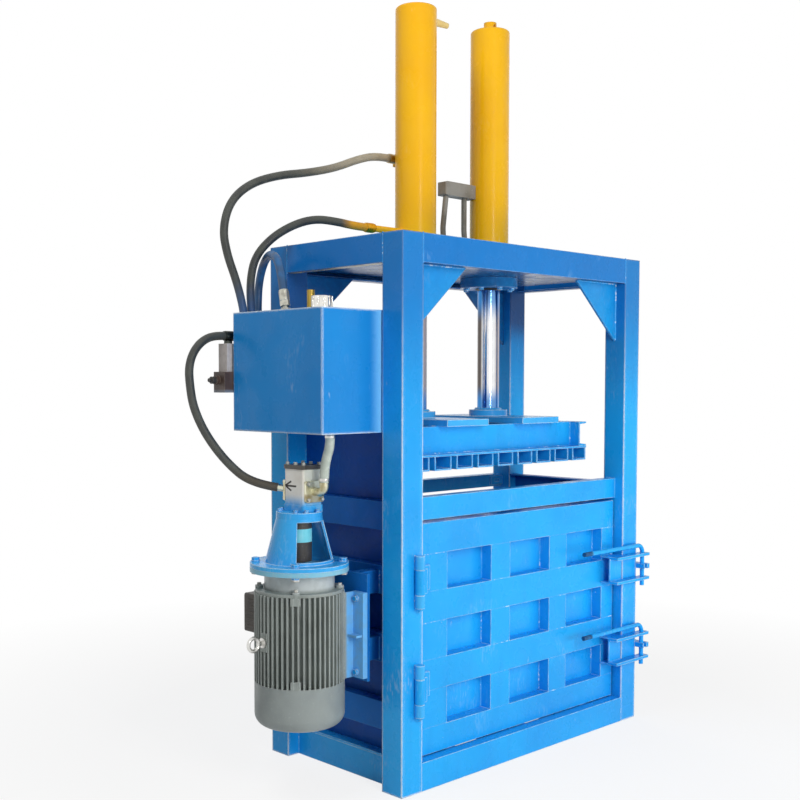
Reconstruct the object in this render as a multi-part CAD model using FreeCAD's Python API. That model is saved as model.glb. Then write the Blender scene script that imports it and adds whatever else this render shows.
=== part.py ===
"""Vertical recycling baler with two hydraulic cylinders, in millimetres.

+X is to the right as one faces the door, +Y goes to the back and +Z goes up. The origin is on the
floor, at the centre of the frame's footprint.
"""

import FreeCAD
import Part
import math
import os
from collections import namedtuple

Vector = FreeCAD.Vector
X = Vector(1, 0, 0)
Y = Vector(0, 1, 0)
Z = Vector(0, 0, 1)

os.makedirs("parts", exist_ok=True)

Section = namedtuple("Section", "height flange web root tip")

# Frame
frame_width = 1400.0
frame_depth = 700.0
frame_height = 1920.0
channel_100 = Section(100.0, 48.0, 5.3, 10.6, 6.4)
channel_80 = Section(80.0, 43.0, 5.0, 10.0, 6.0)
channel_55 = Section(55.0, 48.0, 5.0, 8.0, 6.0)
cap_thick = 6.0
gusset_width = 270.0
gusset_drop = 235.0
gusset_thick = 10.0
cylinder_plate_drop = 79.0
cylinder_plate_thick = 30.0
joist_spacing = 400.0
wall_plate_thick = 6.0
side_bar_levels = (195.0, 435.0, 675.0, 900.0)
tank_panel_height = 500.0
back_bar_first = 105.0
back_bar_count = 7
back_bar_gap = 20.0
floor_thick = 8.0
lug_length = 80.0
lug_height = 40.0
lug_thick = 8.0

# Strap-groove channels, under the platen and on the chamber floor
groove_channel = Section(90.0, 50.0, 6.0, 6.0, 6.0)
groove_channel_count = 9
groove_pitch = 118.2

# Door
door_gap = 4.0
door_left_gap = 6.0
door_right_gap = 8.0
door_height = 820.0
door_wall = 6.0
door_rib_depth = 48.0
door_plate_thick = 8.0
pocket_columns = 3
pocket_rows = 3
door_left_stile = 166.0
door_stile = 110.0
door_right_stile = 80.0
door_bottom_rail = 94.0
door_rail = 110.0
lintel_gap = 12.0

# Hinges: knuckles stand in front of the left post
hinge_offset = 30.0
knuckle_radius = 17.0
hinge_pin_radius = 8.0
hinge_clearance = 0.05
hinge_end_gap = 0.5
hinge_leaf_bases = (692.0, 316.0)
hinge_leaf_height = 86.0
hinge_top_knuckle = 48.0
hinge_bottom_knuckle = 45.0
hinge_tip = 13.0
strap_thick = 8.0
strap_post_gap = 4.0
strap_foot = 70.0

# Latches: an L-shaped pin drops through two flats that cross the right post
latch_bases = (588.0, 253.0)
latch_height = 112.0
latch_box_length = 82.0
latch_box_inset = 2.0
latch_box_wall = 6.0
latch_post_gap = 2.0
flat_width = 38.0
flat_thick = 12.0
flat_reach = 40.0
latch_pin_radius = 9.0
latch_pin_play = 0.3
latch_pin_offset = 15.0
latch_handle_length = 411.0
latch_handle_rise = 32.0
latch_pin_reach = 26.0
catch_thick = 20.0
catch_weld = 50.0
catch_play = 0.5

# Hydraulic cylinders
cylinder_x = 217.5
cylinder_y = 58.0
barrel_radius = 79.5
bore_radius = 70.0
barrel_length = 1004.0
barrel_cap = 30.0
rod_radius = 45.0
seal_clearance = 0.05
piston_height = 80.0
piston_rise = 504.0
gland_radius = 117.5
gland_height = 40.0
gland_spigot = 36.0
gland_bolt_circle = 98.0
gland_bolt_count = 8
top_nipple_length = 95.0
top_nipple_radius = 17.0
top_boss_radius = 26.0
top_boss_height = 35.0
top_port_radius = 8.0
top_port_depth = 18.0
upper_port_rise = 444.0
lower_port_rise = 147.0
lower_pipe_radius = 12.5
lower_pipe_end = -440.0
rod_flange_radius = 79.0
rod_flange_height = 33.0
tee_rise = 319.0
tee_height = 54.0
tee_depth = 50.0
tee_pipe_radius = 11.0
tee_pipe_bend = 120.0

# Platen
platen_base = 1144.0
platen_side_gap = 78.0
platen_front_gap = 33.0
platen_back_gap = 12.0
platen_thick = 8.0
platen_edge = 1.0
pad_half_width = 115.0
pad_thick = 25.0

# Oil tank
tank_width = 359.0
tank_front_gap = 8.0
tank_back_gap = 20.0
tank_base = 1243.0
tank_top = 1660.0
tank_wall = 4.0
tank_corner = 5.0
filler_inset = 150.0
filler_y = -75.0
filler_neck_radius = 28.0
filler_neck_height = 30.0
filler_cap_radius = 37.5
filler_cap_height = 51.0
filler_cap_play = 0.3
filler_slot_count = 12
breather_radius = 14.0
breather_height = 80.0

# Motor: its axis is vertical
motor_reach = 268.0
motor_y = -71.0
motor_flange_base = 775.0
motor_flange_thick = 15.0
motor_flange_radius = 169.0
flange_bolt_circle = 150.0
neck_length = 70.0
neck_radius = 120.0
shoulder_radius = 150.0
shoulder_height = 10.0
shield_thick = 20.0
shield_pilot = 45.0
housing_length = 305.0
core_radius = 133.0
housing_bore = 112.0
fin_radius = 155.0
fin_count = 52
fin_root = 3.6
fin_tip = 2.8
corner_lug_width = 34.0
corner_lug_height = 26.0
corner_lug_radius = 14.0
fan_cover_radius = 155.0
fan_cover_length = 152.0
fan_cover_corner = 42.0
fan_cover_wall = 2.5
shaft_radius = 21.0
bearing_clearance = 0.05
rotor_radius = 85.0
air_gap = 1.0
foot_bolt_spacing = 254.0
foot_bolt_rise = 24.0
foot_face = 160.0
foot_thick = 20.0
foot_inner = 108.0
foot_outer = 168.0
foot_web = 10.0
foot_rib = 26.0
terminal_width = 84.0
terminal_height = 137.0
terminal_rise = 130.0
terminal_reach = 255.0
terminal_corner = 8.0
terminal_rib_count = 5
eye_rise = 148.0
eye_reach = 198.0
eye_ring_radius = 21.5
eye_bar_radius = 6.5
eye_pad_height = 62.0
eye_pad_width = 30.0

# Motor bracket: a plate on four stubs that reach the side wall's bars
bracket_thick = 12.0
bracket_levels = (10.0, 5.0)
bracket_offsets = (-116.0, 81.0)
bracket_edge = 8.0

# Bell housing and coupling
bell_flange_thick = 15.0
bell_foot_radius = 117.5
bell_head_radius = 79.0
bell_wall = 9.0
bell_cone_height = 150.0
bell_head_thick = 22.0
bell_pilot_radius = 30.0
bell_window_angle = 90.0
bell_window_margin = 10.0
coupling_gap = 17.0
coupling_radius = 43.0
hub_lower_height = 67.0
spider_height = 45.0
hub_upper_height = 22.0
coupling_pin_radius = 5.0
coupling_pin_circle = 31.0

# Gear pump
gear_spacing = 36.0
pump_half_width = 45.0
pump_half_depth = 54.0
pump_corner = 9.0
pump_step = 3.0
pump_foot_height = 22.0
pump_height = 144.0
pump_cover_thick = 14.0
pump_floor = 42.0
gear_teeth = 12
gear_addendum = 3.0
gear_dedendum = 3.75
gear_play = 0.3
gear_tip_play = 0.4
pump_shaft_radius = 12.0
shaft_seat = 15.0
shaft_blind = 8.0
pump_port_radius = 11.0
pump_port_rise = 69.0
port_flange_width = 78.0
port_flange_height = 72.0
port_flange_thick = 10.0
port_flange_corner = 6.0
suction_reach = 48.0
suction_rise = 34.0
suction_elbow_radius = 15.0
suction_elbow_bend = 24.0
pressure_reach = 28.0
pressure_elbow_radius = 12.0
pressure_elbow_bend = 18.0

# Valve group behind the tank
valve_overhang = 36.0
valve_inset = 139.0
valve_base = 1378.0
valve_height = 74.0
valve_depth = 66.0
adapter_offset = 16.0
adapter_width = 60.0
adapter_height = 100.0
adapter_inset = 8.0
feed_elbow_bend = 12.0
relief_rise = 44.0
relief_boss_radius = 16.0
relief_boss_length = 14.0
relief_stem_radius = 7.0
relief_knob_radius = 13.0
relief_knob_length = 26.0
relief_stem_depth = 20.0
lever_inset = 85.0
lever_rise = 37.0
lever_pivot_radius = 6.0
lever_hub_radius = 15.0
lever_hub_thick = 16.0
lever_length = 130.0
lever_knob_radius = 17.0

# Hoses
hose_radius = 15.0
suction_radius = 17.0
ferrule_radius = 17.0
ferrule_length = 36.0
neck_fitting_radius = 10.0

# Values that follow from the ones above
half_width = frame_width / 2
half_depth = frame_depth / 2
post_width = channel_100.height
post_depth = 2 * channel_100.flange
chamber_half = half_width - post_width
hinge_x = -chamber_half - hinge_offset
post_inner_y = half_depth - post_depth
beam_base = frame_height - channel_100.height
bar_outer = chamber_half + channel_100.flange
back_wall_face = half_depth - channel_100.flange
side_wall_top = side_bar_levels[-1] + channel_100.height
floor_top = channel_100.height + floor_thick
door_front = -half_depth + channel_80.flange
door_back_face = door_front + door_rib_depth
door_left = -chamber_half + door_left_gap
door_right = chamber_half - door_right_gap
door_base = channel_100.height + door_gap
door_top = door_base + door_height
pocket_left = door_left + door_left_stile
pocket_base = door_base + door_bottom_rail
stiles_width = door_left_stile + door_right_stile + (pocket_columns - 1) * door_stile
pocket_width = (door_right - door_left - stiles_width) / pocket_columns
pocket_height = (door_height - door_bottom_rail - pocket_rows * door_rail) / pocket_rows
lintel_base = door_top + lintel_gap
hinge_y = -half_depth - knuckle_radius
latch_front = -half_depth - latch_post_gap
latch_pin_y = latch_front - flat_width / 2 + 1
latch_box_right = door_right - latch_box_inset
latch_box_left = latch_box_right - latch_box_length
flat_end = half_width + flat_reach
latch_pin_x = half_width + latch_pin_offset
latch_handle_end = latch_pin_x - latch_handle_length
cylinder_plate_base = frame_height - cylinder_plate_drop
barrel_base = cylinder_plate_base
barrel_top = barrel_base + barrel_length
piston_top = barrel_base + piston_rise
upper_port_z = barrel_base + upper_port_rise
lower_port_z = barrel_base + lower_port_rise
platen_half_width = chamber_half - platen_side_gap
platen_end_web = platen_half_width - channel_100.flange - platen_edge
platen_front = door_back_face + door_plate_thick + platen_front_gap
platen_front_web = platen_front + channel_100.flange
platen_back = back_wall_face - platen_back_gap
platen_plate_top = platen_base + platen_thick
platen_frame_top = platen_plate_top + channel_100.height
pad_top = platen_frame_top + pad_thick
tank_right = -chamber_half - wall_plate_thick
tank_left = tank_right - tank_width
tank_front = -post_inner_y + tank_front_gap
tank_back = post_inner_y - tank_back_gap
filler_x = tank_left + filler_inset
motor_x = -bar_outer - motor_reach
shoulder_lug_circle = shoulder_radius - corner_lug_radius + 2
housing_top = motor_flange_base - neck_length
housing_base = housing_top - housing_length
fan_cover_base = housing_base - fan_cover_length
foot_bolt_base = housing_base + foot_bolt_rise
terminal_base = housing_base + terminal_rise
eye_z = housing_base + eye_rise
motor_flange_top = motor_flange_base + motor_flange_thick
coupling_base = motor_flange_top + coupling_gap
bell_cone_base = motor_flange_top + bell_flange_thick
bell_head_base = bell_cone_base + bell_cone_height
bell_top = bell_head_base + bell_head_thick
pump_top = bell_top + pump_height
gear_base = bell_top + pump_floor
pitch_radius = gear_spacing / 2
pump_x = motor_x + gear_spacing / 2
pump_face = pump_half_depth - pump_step
pump_port_z = bell_top + pump_port_rise
suction_face = Vector(pump_x, motor_y - pump_face - port_flange_thick, pump_port_z)
suction_corner = suction_face - Y * suction_reach
suction_top = suction_corner + Z * suction_rise
pressure_face = Vector(pump_x, motor_y + pump_face + port_flange_thick, pump_port_z)
pressure_corner = pressure_face + Y * pressure_reach
pressure_lean = Vector(-22, 22, 4.5)
valve_left = tank_left - valve_overhang
valve_right = tank_right - valve_inset
valve_top = valve_base + valve_height
valve_back = tank_back + valve_depth
valve_y = tank_back + valve_depth / 2 + 8
adapter_left = valve_left + adapter_offset
adapter_x = adapter_left + adapter_width / 2
adapter_top = valve_top + adapter_height
relief_z = valve_base + relief_rise
lever_x = valve_right - lever_inset
lever_z = valve_base + lever_rise


def block(x, y, z):
    """A box between the low and high value of each axis."""
    return Part.makeBox(x[1] - x[0], y[1] - y[0], z[1] - z[0], Vector(x[0], y[0], z[0]))


def bar(radius, start, end):
    """A round bar from one point to another."""
    run = end - start
    return Part.makeCylinder(radius, run.Length, start, run)


def pipe(outer, inner, start, end):
    """A straight round tube."""
    return bar(outer, start, end).cut(bar(inner, start, end))


def prism(points, sweep):
    """A flat outline of straight edges, swept along a vector."""
    return Part.Face(Part.makePolygon(points + [points[0]])).extrude(sweep)


def channel(section, corner, run, toe, rise):
    """A rolled channel. Its web's back runs from corner along rise, and its flanges point to toe."""
    tip = section.tip
    root = section.root
    outline = (
        (0, 0),
        (section.flange, 0),
        (section.flange, tip),
        (section.web, root),
        (section.web, section.height - root),
        (section.flange, section.height - tip),
        (section.flange, section.height),
        (0, section.height),
    )
    return prism([corner + toe * a + rise * b for a, b in outline], run)


def turned(profile, centre_x, centre_y):
    """A solid of revolution about a vertical axis, from (radius, height) pairs."""
    points = [Vector(centre_x + radius, centre_y, height) for radius, height in profile]
    face = Part.Face(Part.makePolygon(points + [points[0]]))
    return face.revolve(Vector(centre_x, centre_y, 0), Z, 360)


def hexagon(across, centre, axis, height):
    """A hexagonal prism that stands on centre and rises along axis."""
    side = axis.cross(X) if abs(axis.dot(X)) < 0.9 else axis.cross(Z)
    side.normalize()
    other = axis.cross(side)
    radius = across / math.sqrt(3)
    points = []
    for step in range(6):
        angle = math.radians(60 * step)
        points.append(centre + side * (radius * math.cos(angle)) + other * (radius * math.sin(angle)))
    return prism(points, axis * height)


def bolt_head(across, centre, axis, height):
    """A hexagon head on its washer."""
    washer_thick = 2.5
    washer = bar(across * 0.62, centre, centre + axis * washer_thick)
    return washer.fuse(hexagon(across, centre + axis * washer_thick, axis, height))


def around(count, radius, first_angle=0.0):
    """Evenly spaced offsets on a horizontal circle."""
    steps = [math.radians(first_angle + 360 * n / count) for n in range(count)]
    return [Vector(radius * math.cos(a), radius * math.sin(a), 0) for a in steps]


def route(points, bend_radius=None):
    """Straight runs joined by tangent arcs. Returns the wire and its arc radii."""
    edges = []
    radii = []
    start = points[0]
    for before, corner, after in zip(points, points[1:], points[2:]):
        back = before - corner
        ahead = after - corner
        shorter = min(back.Length, ahead.Length)
        back.normalize()
        ahead.normalize()
        half_turn = (math.pi - back.getAngle(ahead)) / 2
        radius = bend_radius or 0.45 * shorter / math.tan(half_turn)
        reach = radius * math.tan(half_turn)
        first = corner + back * reach
        last = corner + ahead * reach
        bisector = back + ahead
        bisector.normalize()
        middle = corner + bisector * (radius / math.cos(half_turn) - radius)
        edges.append(Part.LineSegment(start, first).toShape())
        edges.append(Part.Arc(first, middle, last).toShape())
        radii.append(radius)
        start = last
    edges.append(Part.LineSegment(start, points[-1]).toShape())
    return Part.Wire(edges), radii


def swept_bar(points, radius, bend_radius=None):
    """A round bar, or a hose, along a route."""
    wire, radii = route(points, bend_radius)
    ring = Part.Wire(Part.makeCircle(radius, points[0], points[1] - points[0]))
    solid = wire.makePipeShell([ring], True, False)
    return solid, wire.Length, radii


def hose(name, points, radius):
    """A free hose, with its radii and its volume printed for a check against section times length."""
    solid, length, radii = swept_bar(points, radius)
    expected = math.pi * radius**2 * length
    tight = min(radii) / (2 * radius)
    print(f"{name}: length {length:.0f}, volume {solid.Volume / expected:.4f} of section x length")
    print(f"  radii {[round(r) for r in radii]}, tightest {tight:.1f} diameters")
    return solid


def hose_end(point, direction, seat_distance, ferrule=ferrule_radius):
    """A crimped ferrule, a hexagon and a neck, from the hose's end to its seat."""
    nut_start = point + direction * ferrule_length
    nut_length = (seat_distance - ferrule_length) * 0.6
    body = bar(ferrule, point, nut_start)
    body = body.fuse(hexagon(2 * ferrule - 3, nut_start, direction, nut_length))
    neck_start = nut_start + direction * nut_length
    return body.fuse(bar(neck_fitting_radius, neck_start, point + direction * seat_distance))


def save(name, *solids):
    """Write one sub-part, which may be a group of separate solids."""
    shape = solids[0] if len(solids) == 1 else Part.makeCompound(list(solids))
    if not shape.isValid():
        print("NOT VALID", name)
    shape.exportStep(f"parts/{name}.step")


# ---------------------------------------------------------------- frame


def post(left, front):
    """Two channels welded toe to toe, with a cap on top."""
    rise = Z * frame_height
    toe_line = front + channel_100.flange
    near = channel(channel_100, Vector(left, front, 0), rise, Y, X)
    far = channel(channel_100, Vector(left, toe_line + channel_100.flange, 0), rise, -Y, X)
    cap = block(
        (left + channel_100.tip, left + post_width - channel_100.tip),
        (front + channel_100.web, front + post_depth - channel_100.web),
        (frame_height - cap_thick, frame_height),
    )
    return near.fuse([far, cap]).removeSplitter()


def make_posts():
    corners = [(x, y) for x in (-half_width, chamber_half) for y in (-half_depth, post_inner_y)]
    save("frame_posts", *[post(x, y) for x, y in corners])


def cross_beam(side, base):
    """A beam between two posts, flush with the front (side -1) or back (side 1) of the frame."""
    corner = Vector(-chamber_half, side * half_depth, base)
    return channel(channel_100, corner, X * (2 * chamber_half), Y * -side, Z)


def side_beam(side, web_x, base):
    """A beam that runs front to back between the posts, with its web outward."""
    corner = Vector(side * web_x, -post_inner_y, base)
    return channel(channel_100, corner, Y * (2 * post_inner_y), X * -side, Z)


def make_beams():
    front_back = [cross_beam(side, beam_base) for side in (-1, 1)]
    sides = [side_beam(side, half_width, beam_base) for side in (-1, 1)]
    save("top_beams", *front_back, *sides)
    rails = [side_beam(side, bar_outer, 0) for side in (-1, 1)]
    save("base_beams", cross_beam(-1, 0), cross_beam(1, 0), *rails)


def make_joists():
    """The middle joist's lower flange lies on the floor under the origin."""
    run = Y * (2 * back_wall_face)
    joists = []
    for step in (-1, 0, 1):
        left = step * joist_spacing - channel_100.flange / 2
        corner = Vector(left, -back_wall_face, 0)
        joists.append(channel(channel_100, corner, run, X, Z))
    save("floor_joists", *joists)


def make_gussets():
    gussets = []
    for side in (-1, 1):
        for front in (-back_wall_face, back_wall_face - gusset_thick):
            corner = Vector(side * chamber_half, front, beam_base)
            points = [corner, corner - X * (side * gusset_width), corner - Z * gusset_drop]
            gussets.append(prism(points, Y * gusset_thick))
    save("corner_gussets", *gussets)


def cylinder_centres():
    return [Vector(side * cylinder_x, cylinder_y, 0) for side in (-1, 1)]


def make_cylinder_plate():
    web_face = half_depth - channel_100.web
    plate = block(
        (-chamber_half, chamber_half),
        (-web_face, web_face),
        (cylinder_plate_base, cylinder_plate_base + cylinder_plate_thick),
    )
    for centre in cylinder_centres():
        low = centre + Z * cylinder_plate_base
        plate = plate.cut(bar(barrel_radius, low, low + Z * cylinder_plate_thick))
    save("cylinder_plate", plate)


def make_lintel():
    corner = Vector(-chamber_half, door_front, lintel_base)
    save("door_lintel", channel(channel_80, corner, X * (2 * chamber_half), Y, Z))


def make_side_walls():
    bars = []
    plates = []
    plate_bases = [floor_top] + [level + channel_100.height for level in side_bar_levels[:-1]]
    plate_y = (-post_inner_y, post_inner_y)
    for side in (-1, 1):
        inner = sorted((side * chamber_half, side * (chamber_half + wall_plate_thick)))
        for level, base in zip(side_bar_levels, plate_bases):
            bars.append(side_beam(side, bar_outer, level))
            plates.append(block(inner, plate_y, (base, level)))
    panel_x = (-chamber_half - wall_plate_thick, -chamber_half)
    panel_top = side_wall_top + tank_panel_height
    plates.append(block(panel_x, plate_y, (side_wall_top, panel_top)))
    save("side_wall_bars", *bars)
    save("side_wall_plates", *plates)


def make_back_wall():
    """Channels with a gap between each pair, their webs towards the bale."""
    run = X * (2 * chamber_half)
    pitch = channel_100.height + back_bar_gap
    top_level = back_bar_first + back_bar_count * pitch
    bars = []
    for row in range(back_bar_count):
        base = back_bar_first + row * pitch
        bars.append(channel(channel_100, Vector(-chamber_half, back_wall_face, base), run, Y, Z))
    top_corner = Vector(-chamber_half, back_wall_face, top_level)
    bars.append(channel(channel_55, top_corner, run, Y, Z))
    lug_base = top_level + (channel_55.height - lug_height) / 2
    lug = block(
        (chamber_half - lug_length, chamber_half),
        (back_wall_face - lug_thick, back_wall_face),
        (lug_base, lug_base + lug_height),
    )
    slot_x = chamber_half - lug_length / 2
    slot = block(
        (slot_x - lug_length / 5, slot_x + lug_length / 5),
        (back_wall_face - lug_thick, back_wall_face),
        (lug_base + lug_height * 0.35, lug_base + lug_height * 0.65),
    )
    save("back_wall_bars", *bars, lug.cut(slot))


def make_floor():
    front = door_back_face + door_plate_thick + 3
    wide = block((-bar_outer, bar_outer), (front, post_inner_y), (channel_100.height, floor_top))
    narrow = block(
        (-chamber_half, chamber_half), (post_inner_y, back_wall_face), (channel_100.height, floor_top)
    )
    save("chamber_floor", wide.fuse(narrow).removeSplitter())
    channels = []
    for step in range(groove_channel_count):
        left = (step - (groove_channel_count - 1) / 2) * groove_pitch - groove_channel.height / 2
        corner = Vector(left, front, floor_top + groove_channel.flange)
        channels.append(channel(groove_channel, corner, Y * (back_wall_face - front), -Z, X))
    save("floor_channels", *channels)


# ---------------------------------------------------------------- hinges and latches


def hinge_point(height):
    return Vector(hinge_x, hinge_y, height)


def knuckle(base, height):
    """A tube with a weld pad that lies against the post."""
    tube = bar(knuckle_radius, hinge_point(base), hinge_point(base + height))
    pad_half = knuckle_radius * 0.5
    pad_y = (hinge_y + knuckle_radius * 0.6, -half_depth)
    pad = block((hinge_x - pad_half, hinge_x + pad_half), pad_y, (base, base + height))
    hole = bar(hinge_pin_radius + hinge_clearance, hinge_point(base), hinge_point(base + height))
    return tube.fuse(pad).cut(hole)


def make_hinge_knuckles():
    solids = []
    for leaf in hinge_leaf_bases:
        top = leaf + hinge_leaf_height + hinge_end_gap
        bottom = leaf - hinge_end_gap - hinge_bottom_knuckle
        solids.append(knuckle(top, hinge_top_knuckle))
        solids.append(knuckle(bottom, hinge_bottom_knuckle))
        pin = bar(hinge_pin_radius, hinge_point(bottom), hinge_point(top + hinge_top_knuckle))
        tip = Part.makeCone(
            hinge_tip * 0.3, knuckle_radius - 2, hinge_tip, hinge_point(bottom - hinge_tip), Z
        )
        solids.append(pin.fuse(tip))
    save("hinge_knuckles", *solids)


def make_hinge_leaves():
    """A knuckle and a bent strap that reaches past the post's corner onto the door."""
    strap_front = -half_depth - strap_post_gap - strap_thick
    bend_x = -chamber_half + strap_post_gap
    leaves = []
    for base in hinge_leaf_bases:
        z = (base, base + hinge_leaf_height)
        tube = bar(knuckle_radius, hinge_point(z[0]), hinge_point(z[1]))
        arm = block((hinge_x, bend_x + strap_thick), (strap_front, strap_front + strap_thick), z)
        leg = block((bend_x, bend_x + strap_thick), (strap_front, door_front), z)
        foot = block((bend_x, bend_x + strap_foot), (door_front - strap_thick, door_front), z)
        hole = bar(hinge_pin_radius + hinge_clearance, hinge_point(z[0]), hinge_point(z[1]))
        leaves.append(tube.fuse([arm, leg, foot]).cut(hole).removeSplitter())
    save("hinge_leaves", *leaves)


def latch_box(base):
    """A short folded channel on the door, with two flats that run past the right post."""
    top = base + latch_height
    wall = latch_box_wall
    section = Section(latch_height, door_front - latch_front, wall, wall, wall)
    corner = Vector(latch_box_left, latch_front, base)
    box = channel(section, corner, X * (latch_box_right - latch_box_left), Y, Z)
    flats = []
    flat_y = (latch_front - flat_width, latch_front)
    for low in (base, top - flat_thick):
        flats.append(block((latch_box_left, flat_end), flat_y, (low, low + flat_thick)))
    centre = Vector(latch_pin_x, latch_pin_y, base)
    hole = bar(latch_pin_radius + latch_pin_play, centre, centre + Z * latch_height)
    return box.fuse(flats).cut(hole).removeSplitter()


def latch_pin(base):
    """A round bar: a handle in front of the door, a bend, and a leg down through both flats."""
    top = base + latch_height
    handle_z = top + latch_handle_rise
    points = [
        Vector(latch_handle_end, latch_pin_y, handle_z),
        Vector(latch_pin_x, latch_pin_y, handle_z),
        Vector(latch_pin_x, latch_pin_y, base - latch_pin_reach),
    ]
    return swept_bar(points, latch_pin_radius, latch_handle_rise)[0]


def catch(base):
    """A plate on the post's outer side, with a notch for the pin that is open to the front."""
    middle = base + latch_height / 2
    z = (middle - catch_thick / 2, middle + catch_thick / 2)
    front = latch_front - flat_width
    plate = block((half_width, flat_end), (front, -half_depth + catch_weld), z)
    notch = latch_pin_radius + catch_play
    centre = Vector(latch_pin_x, latch_pin_y, z[0])
    plate = plate.cut(bar(notch, centre, centre + Z * catch_thick))
    mouth = block((latch_pin_x - notch, latch_pin_x + notch), (front, latch_pin_y), z)
    return plate.cut(mouth)


def make_latches():
    save("latch_boxes", *[latch_box(base) for base in latch_bases])
    save("latch_catches", *[catch(base) for base in latch_bases])
    for name, base in zip(("upper", "lower"), latch_bases):
        save(f"latch_pin_{name}", latch_pin(base))


# ---------------------------------------------------------------- door


def make_door():
    """Rails of folded channel, uprights between them, and a plate behind both."""
    pitch_x = pocket_width + door_stile
    pitch_z = pocket_height + door_rail
    pocket_bases = [pocket_base + row * pitch_z for row in range(pocket_rows)]
    pocket_lefts = [pocket_left + column * pitch_x for column in range(pocket_columns)]
    rail_bases = [door_base] + [base + pocket_height for base in pocket_bases]
    rail_tops = pocket_bases + [door_top]
    upright_lefts = [door_left] + [left + pocket_width for left in pocket_lefts]
    upright_rights = pocket_lefts + [door_right]
    bars = []
    for low, high in zip(rail_bases, rail_tops):
        section = Section(high - low, door_rib_depth, door_wall, door_wall, door_wall)
        corner = Vector(door_left, door_front, low)
        bars.append(channel(section, corner, X * (door_right - door_left), Y, Z))
    for left, right in zip(upright_lefts, upright_rights):
        section = Section(right - left, door_rib_depth, door_wall, door_wall, door_wall)
        for base in pocket_bases:
            corner = Vector(left, door_front, base)
            bars.append(channel(section, corner, Z * pocket_height, Y, X))
    save("door_bars", *bars)
    plate_y = (door_back_face, door_back_face + door_plate_thick)
    save("door_back_plate", block((door_left, door_right), plate_y, (door_base, door_top)))


# ---------------------------------------------------------------- cylinders and platen


def barrel(centre):
    """A tube closed at the top, without its ports."""
    low = centre + Z * barrel_base
    high = centre + Z * barrel_top
    tube = bar(barrel_radius, low, high)
    rim = [edge for edge in tube.Edges if edge.BoundBox.ZMin > barrel_top - 1 and edge.Closed]
    tube = tube.makeFillet(10, rim)
    return tube.cut(bar(bore_radius, low, high - Z * barrel_cap))


def make_barrels():
    left_centre, right_centre = cylinder_centres()
    left = barrel(left_centre)
    nipple_z = barrel_top - barrel_cap
    nipple_base = left_centre + Z * nipple_z + X * (barrel_radius - 6)
    nipple = Part.makeCone(top_nipple_radius, top_nipple_radius * 0.65, top_nipple_length + 6, nipple_base, X)
    left = left.fuse(nipple)
    pipe_start = Vector(lower_pipe_end, cylinder_y, lower_port_z)
    pipe_stop = left_centre + Z * lower_port_z - X * (barrel_radius - 6)
    left = left.fuse(bar(lower_pipe_radius, pipe_start, pipe_stop))
    port_block = block(
        (-cylinder_x + 2, -cylinder_x + 52),
        (cylinder_y + barrel_radius * 0.9, cylinder_y + barrel_radius + 48),
        (upper_port_z - 24, upper_port_z + 24),
    )
    left = left.fuse(port_block)
    left = left.cut(bar(neck_fitting_radius - 2, pipe_start, pipe_stop + X * 12))

    right = barrel(right_centre)
    boss_base = right_centre + Z * (barrel_top - 2)
    boss_top = right_centre + Z * (barrel_top + top_boss_height)
    right = right.fuse(bar(top_boss_radius, boss_base, boss_top))
    port_mouth = right_centre + Z * (barrel_top + top_boss_height / 2) - Y * top_boss_radius
    right = right.cut(bar(top_port_radius, port_mouth, port_mouth + Y * top_port_depth))
    save("cylinder_barrels", left, right)


def make_glands():
    glands = []
    bolts = []
    flange_base = barrel_base - gland_height
    for centre in cylinder_centres():
        spigot_radius = bore_radius - seal_clearance
        profile = (
            (rod_radius + seal_clearance, flange_base),
            (gland_radius, flange_base),
            (gland_radius, barrel_base),
            (spigot_radius, barrel_base),
            (spigot_radius, barrel_base + gland_spigot),
            (rod_radius + seal_clearance, barrel_base + gland_spigot),
        )
        glands.append(turned(profile, centre.x, centre.y))
        for offset in around(gland_bolt_count, gland_bolt_circle, 22.5):
            bolts.append(bolt_head(19, centre + offset + Z * flange_base, -Z, 8))
    save("cylinder_glands", *glands)
    return bolts


def make_rods():
    rods = []
    flanges = []
    pads = []
    for centre in cylinder_centres():
        rods.append(bar(rod_radius, centre + Z * pad_top, centre + Z * (piston_top - piston_height)))
        piston_low = centre + Z * (piston_top - piston_height)
        rods.append(bar(bore_radius - seal_clearance, piston_low, centre + Z * piston_top))
        flange_high = pad_top + rod_flange_height
        profile = (
            (rod_radius + seal_clearance, pad_top),
            (rod_flange_radius, pad_top),
            (rod_flange_radius, flange_high - 8),
            (rod_radius + 14, flange_high - 8),
            (rod_radius + 8, flange_high),
            (rod_radius + seal_clearance, flange_high),
        )
        flanges.append(turned(profile, centre.x, centre.y))
        x = (centre.x - pad_half_width, centre.x + pad_half_width)
        pads.append(block(x, (platen_front, platen_back), (platen_frame_top, pad_top)))
    save("piston_rods", *rods)
    save("rod_flanges", *flanges, *pads)


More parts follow.
